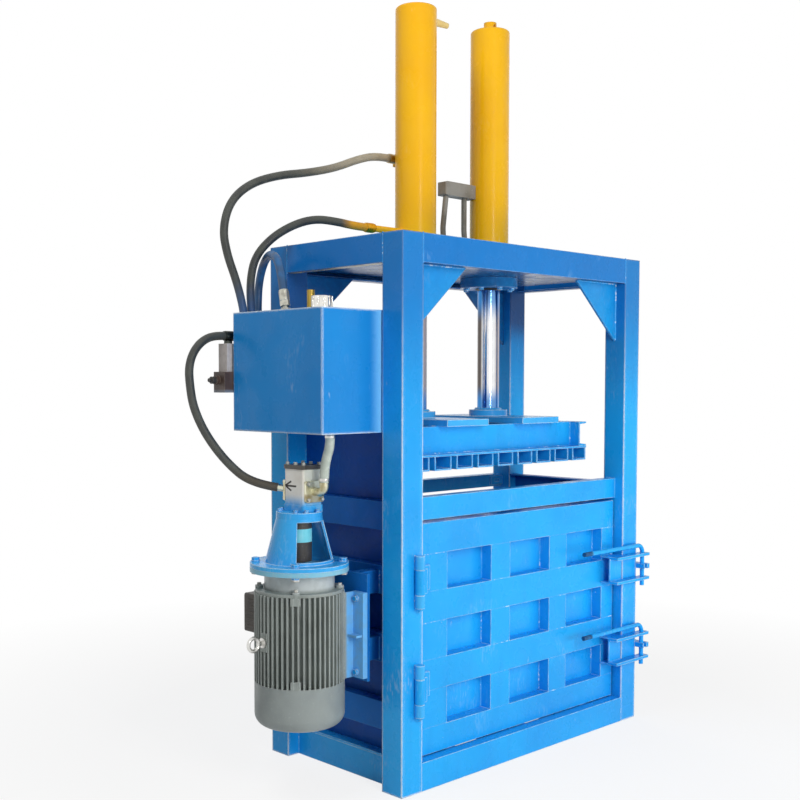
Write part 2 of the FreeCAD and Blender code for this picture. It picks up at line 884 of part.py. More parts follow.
def make_platen():
    plate_x = (-platen_half_width, platen_half_width)
    plate_y = (platen_front, platen_back)
    save("platen_plate", block(plate_x, plate_y, (platen_base, platen_plate_top)))
    channels = []
    for step in range(groove_channel_count):
        left = (step - (groove_channel_count - 1) / 2) * groove_pitch - groove_channel.height / 2
        corner = Vector(left, platen_front, platen_base - groove_channel.flange)
        channels.append(channel(groove_channel, corner, Y * (platen_back - platen_front), Z, X))
    save("platen_channels", *channels)

    beams = []
    for side in (-1, 1):
        corner = Vector(side * platen_end_web, platen_front, platen_plate_top)
        run = Y * (platen_back - platen_front)
        beams.append(channel(channel_100, corner, run, X * side, Z))
        corner = Vector(side * cylinder_x - channel_100.flange / 2, 0, platen_plate_top)
        corner.y = platen_front_web + channel_100.flange
        run = Y * (platen_back - channel_100.flange - corner.y)
        beams.append(channel(channel_100, corner, run, X, Z))
    run = X * (2 * platen_end_web)
    front_corner = Vector(-platen_end_web, platen_front_web, platen_plate_top)
    back_corner = Vector(-platen_end_web, platen_back, platen_plate_top)
    beams.append(channel(channel_100, front_corner, run, Y, Z))
    beams.append(channel(channel_100, back_corner, run, -Y, Z))
    save("platen_frame", *beams)


def make_pipe_tee():
    """A port block on the right barrel, with two rigid pipes down to the cylinders' feet."""
    block_right = cylinder_x - barrel_radius * 0.8
    block_left = -cylinder_x + barrel_radius + 100
    tee_base = barrel_base + tee_rise
    block_y = (cylinder_y + 5, cylinder_y + 5 + tee_depth)
    body = block((block_left, block_right), block_y, (tee_base, tee_base + tee_height))
    body = body.makeFillet(8, [edge for edge in body.Edges if edge.BoundBox.XLength < 1])
    centre = cylinder_centres()[1]
    body = body.cut(bar(barrel_radius, centre + Z * barrel_base, centre + Z * barrel_top))
    pipe_y = (block_y[0] + block_y[1]) / 2
    foot = cylinder_plate_base + cylinder_plate_thick
    overrun = 20.0
    bend_z = foot + tee_rise / 2
    right_points = [
        Vector(block_right - 58, pipe_y, tee_base + overrun),
        Vector(block_right - 58, pipe_y, bend_z),
        Vector(block_right - 38, pipe_y, foot - overrun),
    ]
    left_points = [
        Vector(block_left + 28, pipe_y, tee_base + overrun),
        Vector(block_left + 8, pipe_y, bend_z),
        Vector(block_left + 24, pipe_y, foot - overrun),
    ]
    span = block((block_left - tee_depth, block_right + tee_depth), block_y, (foot, tee_base))
    pipes = []
    for points in (right_points, left_points):
        pipes.append(swept_bar(points, tee_pipe_radius, tee_pipe_bend)[0].common(span))
    save("pipe_tee", body, *pipes)


# ---------------------------------------------------------------- tank and valves


def make_tank():
    outer = block((tank_left, tank_right), (tank_front, tank_back), (tank_base, tank_top))
    uprights = [edge for edge in outer.Edges if abs(edge.Length - (tank_top - tank_base)) < 0.1]
    outer = outer.makeFillet(tank_corner, uprights)
    inner = block(
        (tank_left + tank_wall, tank_right - tank_wall),
        (tank_front + tank_wall, tank_back - tank_wall),
        (tank_base + tank_wall, tank_top - tank_wall),
    )
    low = Vector(filler_x, filler_y, tank_top - tank_wall)
    neck = bar(filler_neck_radius, low, low + Z * (tank_wall + filler_neck_height))
    mouth = bar(filler_neck_radius - tank_wall, low, low + Z * (tank_wall + filler_neck_height))
    save("oil_tank", outer.cut(inner).fuse(neck).cut(mouth))


def make_filler_cap():
    """A deep cap over the filler neck, with grip slots round its side."""
    base = tank_top + filler_cap_play
    low = Vector(filler_x, filler_y, base)
    body = bar(filler_cap_radius, low, low + Z * filler_cap_height)
    rim = [edge for edge in body.Edges if edge.Closed and edge.BoundBox.ZMin > base + 1]
    body = body.makeFillet(4, rim)
    inner = filler_neck_radius + filler_cap_play
    body = body.cut(bar(inner, low, low + Z * (filler_neck_height + 1)))
    slot_radius = 3.5
    for offset in around(filler_slot_count, filler_cap_radius + 1):
        start = low + offset + Z * (filler_cap_height * 0.3)
        body = body.cut(bar(slot_radius, start, start + Z * filler_cap_height))
    save("filler_cap", body)


def make_valves():
    body = block((valve_left, valve_right), (tank_back, valve_back), (valve_base, valve_top))
    face = Vector(valve_left, valve_y, relief_z)
    body = body.fuse(bar(relief_boss_radius, face, face - X * relief_boss_length))
    stem_hole = relief_stem_radius + bearing_clearance
    body = body.cut(bar(stem_hole, face - X * relief_boss_length, face + X * (relief_stem_depth + 1)))
    pivot = Vector(lever_x, valve_back, lever_z)
    pivot_length = lever_hub_thick + 6
    body = body.fuse(bar(lever_pivot_radius, pivot, pivot + Y * pivot_length))
    adapter = block(
        (adapter_left, adapter_left + adapter_width),
        (tank_back + adapter_inset, valve_back - adapter_inset),
        (valve_top, adapter_top),
    )
    save("valve_block", body, adapter)

    knob_face = face - X * (relief_boss_length + filler_cap_play)
    knob = bar(relief_knob_radius, knob_face, knob_face - X * relief_knob_length * 0.6)
    stem = bar(relief_stem_radius, knob_face - X * relief_knob_length, face + X * relief_stem_depth)
    knob = knob.fuse(stem)
    save("relief_adjuster", knob)

    hub_start = pivot + Y * filler_cap_play
    hub_end = hub_start + Y * lever_hub_thick
    middle = hub_start + Y * (lever_hub_thick / 2)
    lever = bar(lever_hub_radius, hub_start, hub_end)
    lever = lever.fuse(bar(lever_pivot_radius, middle, middle - Z * lever_length))
    lever = lever.fuse(Part.makeSphere(lever_knob_radius, middle - Z * lever_length))
    lever = lever.cut(bar(lever_pivot_radius + hinge_clearance, hub_start, hub_end))
    save("valve_lever", lever)


# ---------------------------------------------------------------- motor


def motor_point(height):
    return Vector(motor_x, motor_y, height)


def fin_outline():
    """One closed outline with every cooling fin, on the core's circle."""
    points = []
    for fin in range(fin_count):
        middle = 2 * math.pi * fin / fin_count
        for radius, half_thick in (
            (core_radius, -fin_root),
            (fin_radius, -fin_tip),
            (fin_radius, fin_tip),
            (core_radius, fin_root),
        ):
            angle = middle + half_thick / radius
            offset = Vector(radius * math.cos(angle), radius * math.sin(angle), 0)
            points.append(motor_point(housing_base) + offset)
    return points


def corner_lug(low, high):
    """Four cast lugs between the fins, which take the end shields' screws."""
    lugs = []
    for turn in (45, 135, 225, 315):
        half = corner_lug_width / 2
        lug = block((core_radius - 5, fin_radius - 1), (-half, half), (low, high))
        lug.rotate(Vector(0, 0, 0), Z, turn)
        lug.translate(motor_point(0))
        lugs.append(lug)
    return lugs


def foot(side):
    """One of the two cast feet: a web from the core, a foot face and a rib between."""
    z = (housing_base + 4, housing_top - 6)
    web_x = (motor_x + core_radius * 0.5, motor_x + foot_face)
    face_x = (motor_x + foot_face - foot_thick, motor_x + foot_face)
    web_y = sorted((motor_y + side * foot_inner, motor_y + side * (foot_inner + foot_web)))
    face_y = sorted((motor_y + side * foot_inner, motor_y + side * foot_outer))
    middle = foot_bolt_base + foot_bolt_spacing / 2
    rib_y = sorted((motor_y + side * (foot_inner + foot_web), motor_y + side * (foot_outer - 6)))
    rib = block((face_x[0] - foot_rib, face_x[0]), rib_y, (middle - 4, middle + 4))
    return block(web_x, web_y, z).fuse([block(face_x, face_y, z), rib])


def foot_bolt_points():
    points = []
    for side in (-1, 1):
        for level in (foot_bolt_base, foot_bolt_base + foot_bolt_spacing):
            points.append(Vector(motor_x + foot_face, motor_y + side * (foot_outer - 32), level))
    return points


def make_housing():
    body = prism(fin_outline(), Z * housing_length)
    pad_y = motor_y + fin_radius + 1
    pad_half = terminal_width / 2 - 4
    pad_z = (terminal_base + 4, terminal_base + terminal_height - 4)
    box_pad = block((motor_x - pad_half, motor_x + pad_half), (motor_y + housing_bore, pad_y), pad_z)
    seat = motor_x - fin_radius - 1
    eye_half = eye_pad_width / 2
    eye_pad_z = (eye_z - eye_pad_height / 2, eye_z + eye_pad_height / 2)
    eye_pad = block((seat, motor_x - housing_bore), (motor_y - eye_half, motor_y + eye_half), eye_pad_z)
    lugs = corner_lug(housing_top - corner_lug_height, housing_top)
    lugs += corner_lug(housing_base, housing_base + corner_lug_height)
    body = body.fuse([foot(-1), foot(1), box_pad, eye_pad, *lugs])
    body = body.cut(bar(housing_bore, motor_point(housing_base), motor_point(housing_top)))
    save("motor_housing", body.removeSplitter())

    box_x = (motor_x - terminal_width / 2, motor_x + terminal_width / 2)
    box_z = (terminal_base, terminal_base + terminal_height)
    lid_y = motor_y + terminal_reach
    terminal = block(box_x, (pad_y, lid_y), box_z)
    sides = [edge for edge in terminal.Edges if edge.BoundBox.YLength > terminal_corner]
    terminal = terminal.makeFillet(terminal_corner, sides)
    pitch = terminal_height / (terminal_rib_count + 1)
    for number in range(terminal_rib_count):
        level = terminal_base + (number + 1) * pitch
        rib = block((box_x[0] - 2, box_x[1] + 2), (pad_y + 20, lid_y - 14), (level - 3, level + 3))
        terminal = terminal.fuse(rib)
    save("terminal_box", terminal)

    eye_x = motor_x - eye_reach
    ring = Part.makeTorus(eye_ring_radius, eye_bar_radius, Vector(eye_x, motor_y, eye_z), Y)
    collar = bar(17, Vector(seat, motor_y, eye_z), Vector(seat - 7, motor_y, eye_z))
    shank_end = Vector(eye_x + eye_ring_radius - 4, motor_y, eye_z)
    shank = bar(8, Vector(seat, motor_y, eye_z), shank_end)
    save("lifting_eye", ring.fuse([collar, shank]))

    stator_low = motor_point(housing_base + 48)
    stator_high = motor_point(housing_top - 52)
    save("motor_stator", pipe(housing_bore, rotor_radius + air_gap, stator_low, stator_high))


def make_end_shields():
    bore = shaft_radius + bearing_clearance
    top_profile = (
        (bore, motor_flange_top - shield_pilot),
        (housing_bore - 8, motor_flange_top - shield_pilot),
        (housing_bore - 8, housing_top),
        (shoulder_radius, housing_top),
        (shoulder_radius, housing_top + shoulder_height),
        (neck_radius, housing_top + shoulder_height),
        (neck_radius, motor_flange_base),
        (motor_flange_radius, motor_flange_base),
        (motor_flange_radius, motor_flange_top),
        (bore, motor_flange_top),
    )
    top = turned(top_profile, motor_x, motor_y)
    base_profile = (
        (bore, housing_base - shield_thick),
        (core_radius, housing_base - shield_thick),
        (core_radius, housing_base),
        (bore, housing_base),
    )
    base = turned(base_profile, motor_x, motor_y)
    cover_inner = fan_cover_radius - fan_cover_wall
    lugs = []
    lug_reach = cover_inner + 5
    for turn in (0, 90):
        lug = block((-lug_reach, lug_reach), (-12, 12), (housing_base - shield_thick, housing_base))
        lug.rotate(Vector(0, 0, 0), Z, turn + 45)
        lug.translate(motor_point(0))
        lugs.append(lug)
    limit = bar(cover_inner, motor_point(housing_base - shield_thick), motor_point(housing_base))
    hole = bar(bore, motor_point(housing_base - shield_thick), motor_point(housing_base))
    base = base.fuse(lugs).common(limit).cut(hole)
    bosses = []
    for offset in around(4, shoulder_lug_circle, 45):
        low = motor_point(housing_top) + offset
        bosses.append(bar(corner_lug_radius, low, low + Z * (shoulder_height + 8)))
    save("motor_end_shields", top.fuse(bosses).removeSplitter(), base.removeSplitter())


def make_fan_cover():
    """A drawn cup with an air grille in its floor."""
    outer = bar(fan_cover_radius, motor_point(fan_cover_base), motor_point(housing_base))
    low_rim = [edge for edge in outer.Edges if edge.Closed and edge.BoundBox.ZMax < fan_cover_base + 1]
    outer = outer.makeFillet(fan_cover_corner, low_rim)
    floor = fan_cover_base + fan_cover_wall
    inner = bar(fan_cover_radius - fan_cover_wall, motor_point(floor), motor_point(housing_base + 1))
    low_rim = [edge for edge in inner.Edges if edge.Closed and edge.BoundBox.ZMax < floor + 1]
    inner = inner.makeFillet(fan_cover_corner - fan_cover_wall, low_rim)
    cup = outer.cut(inner)
    slot_z = (fan_cover_base - 1, floor + 1)
    for turn in range(16):
        slot = block((45, 112), (-4, 4), slot_z)
        slot.rotate(Vector(0, 0, 0), Z, 22.5 * turn)
        slot.translate(motor_point(0))
        cup = cup.cut(slot)
    save("fan_cover", cup)


def make_rotor():
    shaft_low = fan_cover_base + 45
    hub_low = coupling_base
    hub_high = hub_low + hub_lower_height
    core_z = (housing_base + 58, housing_top - 62)
    shaft = bar(shaft_radius, motor_point(shaft_low), motor_point(hub_high - 2))
    core = bar(rotor_radius, motor_point(core_z[0]), motor_point(core_z[1]))
    save("motor_rotor", shaft.fuse(core).removeSplitter())

    hub_z = (shaft_low + 6, shaft_low + 40)
    fan = bar(32, motor_point(hub_z[0]), motor_point(hub_z[1]))
    for turn in range(6):
        blade = block((28, 128), (-1.5, 1.5), (hub_z[0], hub_z[1] + 8))
        blade.rotate(Vector(0, 0, 0), Z, 60 * turn)
        blade.translate(motor_point(0))
        fan = fan.fuse(blade)
    fan = fan.cut(bar(shaft_radius + seal_clearance, motor_point(hub_z[0]), motor_point(hub_z[1] + 8)))
    save("cooling_fan", fan)


def make_coupling():
    """Two hubs with three pins each, which share six holes in a rubber disc."""
    low = coupling_base
    spider_low = low + hub_lower_height
    spider_high = spider_low + spider_height
    high = spider_high + hub_upper_height
    lower_bore = shaft_radius + seal_clearance
    upper_bore = pump_shaft_radius + seal_clearance
    lower = pipe(coupling_radius, lower_bore, motor_point(low), motor_point(spider_low))
    upper = pipe(coupling_radius, upper_bore, motor_point(spider_high), motor_point(high))
    spider = bar(coupling_radius, motor_point(spider_low), motor_point(spider_high))
    spider = spider.cut(bar(shaft_radius, motor_point(spider_low), motor_point(spider_high)))
    pin_length = spider_height - 4
    for number, offset in enumerate(around(6, coupling_pin_circle)):
        start = motor_point(spider_low) + offset
        end = motor_point(spider_high) + offset
        spider = spider.cut(bar(coupling_pin_radius + seal_clearance, start, end))
        if number % 2:
            lower = lower.fuse(bar(coupling_pin_radius, start, start + Z * pin_length))
        else:
            upper = upper.fuse(bar(coupling_pin_radius, end, end - Z * pin_length))
    save("coupling_hubs", lower, upper)
    save("coupling_spider", spider)


def make_bell():
    """A cast cone between the motor's flange and the pump, with a window in front and one behind."""
    foot_z = motor_flange_top
    inner_foot = bell_foot_radius - bell_wall
    inner_head = bell_head_radius - bell_wall
    profile = (
        (inner_foot, foot_z),
        (motor_flange_radius, foot_z),
        (motor_flange_radius, bell_cone_base),
        (bell_foot_radius, bell_cone_base),
        (bell_head_radius, bell_head_base),
        (bell_head_radius, bell_top),
        (bell_pilot_radius, bell_top),
        (bell_pilot_radius, bell_head_base),
        (inner_head, bell_head_base),
        (inner_foot, bell_cone_base),
    )
    bell = turned(profile, motor_x, motor_y)
    half = math.radians(bell_window_angle / 2)
    reach = motor_flange_radius
    window_base = bell_cone_base + bell_window_margin
    window_height = bell_cone_height - 2 * bell_window_margin
    for side in (-1, 1):
        apex = motor_point(window_base)
        right = apex + Vector(reach * math.sin(half), side * reach * math.cos(half), 0)
        left = apex + Vector(-reach * math.sin(half), side * reach * math.cos(half), 0)
        bell = bell.cut(prism([apex, right, left], Z * window_height))
    save("bell_housing", bell)


def make_bracket():
    """A plate behind the motor's feet, on four stubs of channel that reach the side wall's bars."""
    plate_x = (motor_x + foot_face, motor_x + foot_face + bracket_thick)
    plate_y = (motor_y - foot_outer, motor_y + foot_outer)
    bars = side_bar_levels[1:3]
    stub_levels = [level + rise for level, rise in zip(bars, bracket_levels)]
    plate_low = min(housing_base, stub_levels[0]) - bracket_edge
    plate_high = max(housing_top, stub_levels[1] + channel_80.height) + bracket_edge / 4
    solids = [block(plate_x, plate_y, (plate_low, plate_high))]
    run = X * (-bar_outer - plate_x[1])
    for level in stub_levels:
        for offset in bracket_offsets:
            corner = Vector(plate_x[1], motor_y + offset, level)
            solids.append(channel(channel_80, corner, run, Y, Z))
    save("motor_bracket", *solids)


# ---------------------------------------------------------------- pump


def driven_point(height):
    return motor_point(height) + X * gear_spacing


def pump_box(z, inset):
    """The pump's outline: a box with rounded corners, about the middle between its gears."""
    half_x = pump_half_width - inset
    half_y = pump_half_depth - inset
    box = block((pump_x - half_x, pump_x + half_x), (motor_y - half_y, motor_y + half_y), z)
    uprights = [edge for edge in box.Edges if edge.BoundBox.ZLength > pump_corner]
    return box.makeFillet(pump_corner, uprights)


def gear(centre, phase, z, bore_parts):
    """A spur gear with straight-sided teeth, fused to its shaft."""
    tooth = 360.0 / gear_teeth
    tip = pitch_radius + gear_addendum
    root = pitch_radius - gear_dedendum
    points = []
    for number in range(gear_teeth):
        middle = phase + number * tooth
        for radius, share in ((root, -0.33), (tip, -0.11), (tip, 0.11), (root, 0.33)):
            angle = math.radians(middle + share * tooth)
            across = Vector(radius * math.cos(angle), radius * math.sin(angle), z[0])
            points.append(centre + across)
    return prism(points, Z * (z[1] - z[0])).fuse(bore_parts).removeSplitter()


def make_pump():
    chamber_z = (gear_base, pump_top)
    body = pump_box((bell_top, bell_top + pump_foot_height), 0)
    body = body.fuse(pump_box((bell_top + pump_foot_height, pump_top), pump_step))
    chamber_radius = pitch_radius + gear_addendum + gear_tip_play
    for point in (motor_point, driven_point):
        body = body.cut(bar(chamber_radius, point(chamber_z[0]), point(chamber_z[1])))
    bearing = pump_shaft_radius + bearing_clearance
    body = body.cut(bar(bearing, motor_point(bell_top), motor_point(gear_base)))
    body = body.cut(bar(bearing, driven_point(gear_base - shaft_seat), driven_point(gear_base)))
    body = body.cut(bar(pump_port_radius, suction_face, pressure_face))
    save("pump_body", body)

    cover = pump_box((pump_top, pump_top + pump_cover_thick), 0)
    for point in (motor_point, driven_point):
        cover = cover.cut(bar(bearing, point(pump_top), point(pump_top + shaft_blind)))
    save("pump_cover", cover)

    gear_z = (gear_base + gear_play, pump_top - gear_play)
    drive_low = coupling_base + hub_lower_height + spider_height
    shaft_high = pump_top + shaft_blind - 1
    drive_shaft = bar(pump_shaft_radius, motor_point(drive_low), motor_point(shaft_high))
    driven_low = gear_base - shaft_seat + 1
    driven_shaft = bar(pump_shaft_radius, driven_point(driven_low), driven_point(shaft_high))
    half_tooth = 180.0 / gear_teeth
    save("pump_drive_gear", gear(motor_point(0), 0.0, gear_z, drive_shaft))
    save("pump_driven_gear", gear(driven_point(0), half_tooth, gear_z, driven_shaft))

    flanges = []
    flange_x = (pump_x - port_flange_width / 2, pump_x + port_flange_width / 2)
    flange_z = (pump_port_z - port_flange_height / 2, pump_port_z + port_flange_height / 2)
    for face in (suction_face, pressure_face):
        outward = -1 if face.y < motor_y else 1
        y = sorted((face.y, face.y - outward * port_flange_thick))
        flange = block(flange_x, y, flange_z)
        corners = [edge for edge in flange.Edges if edge.BoundBox.YLength > port_flange_thick / 2]
        flange = flange.makeFillet(port_flange_corner, corners)
        flanges.append(flange.cut(bar(pump_port_radius, suction_face, pressure_face)))
    elbow_points = [suction_face, suction_corner, suction_top]
    elbow = swept_bar(elbow_points, suction_elbow_radius, suction_elbow_bend)[0]
    stub_points = [pressure_face, pressure_corner, pressure_corner + pressure_lean]
    stub = swept_bar(stub_points, pressure_elbow_radius, pressure_elbow_bend)[0]
    save("pump_port_flanges", flanges[0].fuse(elbow), flanges[1].fuse(stub))


def make_pump_bolts():
    bolts = []
    for x, y in ((-52, 42), (-24, 66), (26, 65)):
        for side in (-1, 1):
            bolts.append(bolt_head(13, motor_point(bell_top) + Vector(x, side * y, 0), Z, 7))
    pump_middle = Vector(pump_x, motor_y, pump_top + pump_cover_thick)
    for x in (-34, 34):
        for y in (-42, 0, 42):
            bolts.append(bolt_head(11, pump_middle + Vector(x, y, 0), Z, 7))
    for face, axis in ((suction_face, -Y), (pressure_face, Y)):
        for x in (-30, 30):
            for z in (-27, 27):
                bolts.append(bolt_head(10, face + Vector(x, 0, z), axis, 5))
    return bolts


def make_motor_bolts():
    bolts = []
    for offset in around(4, flange_bolt_circle, 45):
        bolts.append(bolt_head(24, motor_point(bell_cone_base) + offset, Z, 11))
        bolts.append(bolt_head(24, motor_point(motor_flange_base) + offset, -Z, 12))
    for offset in around(4, shoulder_lug_circle, 45):
        lug_top = housing_top + shoulder_height + 8
        bolts.append(bolt_head(13, motor_point(lug_top) + offset, Z, 6))
    for point in foot_bolt_points():
        bolts.append(bolt_head(19, point - X * foot_thick, -X, 9))
    return bolts


# ---------------------------------------------------------------- hoses


port_y = valve_y + 8
hose_start_z = valve_top + 55
feed_z = adapter_top + 28
tank_rise = tank_base - suction_top.z
hose_upper = [
    Vector(-869, port_y, hose_start_z),
    Vector(-869, port_y, 1595),
    Vector(-874, 293, 1690),
    Vector(-902, 297, 1785),
    Vector(-942, 295, 1870),
    Vector(-966, 290, 1960),
    Vector(-940, 280, 2060),
    Vector(-862, 266, 2130),
    Vector(-745, 250, 2172),
    Vector(-610, 232, 2196),
    Vector(-495, 212, 2226),
    Vector(-410, 184, 2264),
    Vector(-335, 160, upper_port_z),
    Vector(-262, 160, upper_port_z),
]
hose_lower = [
    Vector(-833, port_y, hose_start_z),
    Vector(-833, port_y, 1595),
    Vector(-839, 293, 1690),
    Vector(-838, 297, 1785),
    Vector(-820, 292, 1872),
    Vector(-765, 262, 1945),
    Vector(-703, 205, 1994),
    Vector(-652, 146, 2012),
    Vector(-604, 84, 2000),
    Vector(-543, cylinder_y, lower_port_z),
    Vector(lower_pipe_end - 41, cylinder_y, lower_port_z),
]
hose_back = [
    Vector(-797, port_y, hose_start_z),
    Vector(-797, port_y, 1556),
    Vector(-790, 299, 1606),
    Vector(-776, 330, 1648),
    Vector(-765, 346, 1697),
    Vector(-760, 346, 1784),
    Vector(-775, 298, 1855),
    Vector(-804, 221, 1882),
    Vector(-834, 144, 1855),
    Vector(-852, 96, 1784),
    Vector(-858, 80, 1732),
]
hose_feed = [
    Vector(adapter_x - 14, valve_y, feed_z),
    Vector(-1019, 275, feed_z),
    Vector(-1070, 274, 1559),
    Vector(-1109, 272, 1519),
    Vector(-1130, 268, 1467),
    Vector(-1131, 262, 1410),
    Vector(-1130, 244, 1330),
    Vector(-1104, 210, 1236),
    Vector(-1050, 166, 1140),
    pressure_corner + pressure_lean * 4,
    pressure_corner + pressure_lean,
]
hose_inlet = [
    suction_top,
    suction_top + Z * (tank_rise * 0.23),
    Vector(suction_top.x + 4, suction_top.y - 6, suction_top.z + tank_rise * 0.5),
    Vector(suction_top.x + 12, suction_top.y - 16, suction_top.z + tank_rise * 0.75),
    Vector(suction_top.x + 12, suction_top.y - 16, tank_base),
]


def direction(points):
    """The unit vector of a route's last run."""
    run = points[-1] - points[-2]
    run.normalize()
    return run


def make_hoses():
    save("hose_cylinder_upper", hose("hose_cylinder_upper", hose_upper, hose_radius))
    save("hose_cylinder_lower", hose("hose_cylinder_lower", hose_lower, hose_radius))
    save("hose_return", hose("hose_return", hose_back, hose_radius))
    save("hose_pressure", hose("hose_pressure", hose_feed, hose_radius))
    save("hose_suction", hose("hose_suction", hose_inlet, suction_radius))


def make_fittings():
    starts = (hose_upper[0], hose_lower[0], hose_back[0])
    fittings = [hose_end(start, -Z, hose_start_z - valve_top) for start in starts]
    end = hose_back[-1]
    lean = direction(hose_back)
    reach = (end.z - tank_top - 7) / -lean.z
    foot_point = end + lean * reach
    foot_point.z = tank_top
    return_foot = bar(ferrule_radius, foot_point, foot_point + Z * 14)
    fittings.append(hose_end(end, lean, reach).fuse(return_foot))
    fittings.append(hose_end(hose_upper[-1], X, -cylinder_x + 2 - hose_upper[-1].x))
    fittings.append(hose_end(hose_lower[-1], X, lower_pipe_end - hose_lower[-1].x))
    feed_start = hose_feed[0]
    elbow_points = [
        Vector(adapter_x, feed_start.y, adapter_top),
        Vector(adapter_x, feed_start.y, feed_start.z),
        feed_start,
    ]
    elbow = swept_bar(elbow_points, neck_fitting_radius, feed_elbow_bend)[0]
    fittings.append(elbow.fuse(hexagon(26, elbow_points[0], Z, 10)))
    breather_foot = Vector(filler_x + 40, filler_y + 105, tank_top)
    fittings.append(bar(breather_radius, breather_foot, breather_foot + Z * breather_height))
    save("hose_fittings", *fittings)


make_posts()
make_beams()
make_joists()
make_gussets()
make_cylinder_plate()
make_lintel()
make_side_walls()
make_back_wall()
make_floor()
make_hinge_knuckles()
make_hinge_leaves()
make_latches()
make_door()
make_barrels()
gland_bolts = make_glands()
make_rods()
make_platen()
make_pipe_tee()
make_tank()
make_filler_cap()
make_valves()
make_housing()
make_end_shields()
make_fan_cover()
make_rotor()
make_coupling()
make_bell()
make_bracket()
make_pump()
save("machine_bolts", *gland_bolts, *make_motor_bolts(), *make_pump_bolts())
make_hoses()
make_fittings()
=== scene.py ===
"""Finish and studio for a vertical recycling baler: enamel, chrome, hoses, welds, camera and light.

Everything is in metres in the machine's own frame: +X to the right as one faces the door, +Y to the
back, +Z up, with the origin on the floor under the middle of the frame.
"""

import math
import random

import bpy
from bpy.props import FloatProperty, FloatVectorProperty, IntProperty, PointerProperty, StringProperty
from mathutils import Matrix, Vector


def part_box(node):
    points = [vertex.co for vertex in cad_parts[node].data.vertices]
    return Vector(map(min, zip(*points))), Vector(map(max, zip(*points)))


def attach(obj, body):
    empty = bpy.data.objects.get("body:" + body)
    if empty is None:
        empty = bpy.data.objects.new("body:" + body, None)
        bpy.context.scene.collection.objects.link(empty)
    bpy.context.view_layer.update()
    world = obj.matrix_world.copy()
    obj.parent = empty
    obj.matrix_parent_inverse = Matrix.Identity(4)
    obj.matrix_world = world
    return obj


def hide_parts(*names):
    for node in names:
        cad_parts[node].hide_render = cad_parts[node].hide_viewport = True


bl_info = {
    "name": "Recycling baler finish",
    "version": (1, 0, 0),
    "blender": (4, 5, 0),
    "location": "View3D > Sidebar > Baler",
    "description": "Paints and details a two-cylinder recycling baler, and sets up its studio",
    "category": "Object",
}

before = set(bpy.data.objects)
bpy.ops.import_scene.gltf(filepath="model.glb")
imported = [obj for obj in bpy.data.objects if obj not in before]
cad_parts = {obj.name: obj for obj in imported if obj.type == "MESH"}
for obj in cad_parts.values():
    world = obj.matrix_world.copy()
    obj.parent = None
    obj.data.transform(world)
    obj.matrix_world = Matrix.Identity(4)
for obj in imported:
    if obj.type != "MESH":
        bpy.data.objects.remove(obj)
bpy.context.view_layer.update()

MM = 0.001

# Places that several pieces share, read from the machine
posts_low, posts_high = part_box("frame_posts")
gussets_low, gussets_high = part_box("corner_gussets")
plate_low, plate_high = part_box("cylinder_plate")
lintel_low, lintel_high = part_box("door_lintel")
door_low, door_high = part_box("door_bars")
tank_low, tank_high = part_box("oil_tank")
platen_low, platen_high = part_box("platen_plate")
glands_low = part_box("cylinder_glands")[0]
pump_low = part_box("pump_body")[0]
rod_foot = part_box("rod_flanges")[1].z

POST_WIDTH = 100 * MM
POST_DEPTH = 96 * MM
BEAM_HEIGHT = 100 * MM
CHAMBER_HALF = posts_high.x - POST_WIDTH
POST_INNER_Y = posts_high.y - POST_DEPTH
BEAM_BASE = posts_high.z - BEAM_HEIGHT
CYLINDER_X = 217.5 * MM
CYLINDER_Y = 58 * MM
BARREL_RADIUS = 79.5 * MM
ROD_RADIUS = 45 * MM

# Degrees from the X axis to the line across a rod along which its painted shade and reflection lie, one on
# each flank
SHADED_FLANK = 43

# The door's uprights from left to right, and its rows of pockets from the bottom up
UPRIGHTS = ((door_low.x, -0.428), (-0.188, -0.078), (0.162, 0.272), (0.512, door_high.x))
POCKET_ROWS = 3
POCKET_BASE = 0.198
POCKET_PITCH = 0.242
POCKET_HEIGHT = 0.132

# Blues that several finishes share, and the heights between which the blue darkens upwards, a painted shade
# for the weaker light at the top
DEEP_BLUE = "1B8ADC"
PALE_BLUE = "C9E9FB"
EDGE_HIGHLIGHT_BLUE = "F2FBFF"
TOP_SHADE_BLUE = "1873BE"
TOP_SHADE_FROM = 1.20
TOP_SHADE_FULL = 1.80

# Hose routes, in metres, from where each hose leaves its fitting
HOSE_UPPER = (
    (-0.869, 0.283, 1.507),
    (-0.869, 0.283, 1.595),
    (-0.874, 0.293, 1.690),
    (-0.902, 0.297, 1.785),
    (-0.942, 0.295, 1.870),
    (-0.966, 0.290, 1.960),
    (-0.940, 0.280, 2.060),
    (-0.862, 0.266, 2.130),
    (-0.745, 0.250, 2.172),
    (-0.610, 0.232, 2.196),
    (-0.495, 0.212, 2.226),
    (-0.410, 0.184, 2.264),
    (-0.335, 0.160, 2.285),
    (-0.262, 0.160, 2.285),
)
HOSE_LOWER = (
    (-0.833, 0.283, 1.507),
    (-0.833, 0.283, 1.595),
    (-0.839, 0.293, 1.690),
    (-0.838, 0.297, 1.785),
    (-0.820, 0.292, 1.872),
    (-0.765, 0.262, 1.945),
    (-0.703, 0.205, 1.994),
    (-0.652, 0.146, 2.012),
    (-0.604, 0.084, 2.000),
    (-0.543, 0.058, 1.988),
    (-0.481, 0.058, 1.988),
)
HOSE_RETURN = (
    (-0.797, 0.283, 1.507),
    (-0.797, 0.283, 1.556),
    (-0.790, 0.299, 1.606),
    (-0.776, 0.330, 1.648),
    (-0.765, 0.346, 1.697),
    (-0.760, 0.346, 1.784),
    (-0.775, 0.298, 1.855),
    (-0.804, 0.221, 1.882),
    (-0.834, 0.144, 1.855),
    (-0.852, 0.096, 1.784),
    (-0.858, 0.080, 1.732),
)
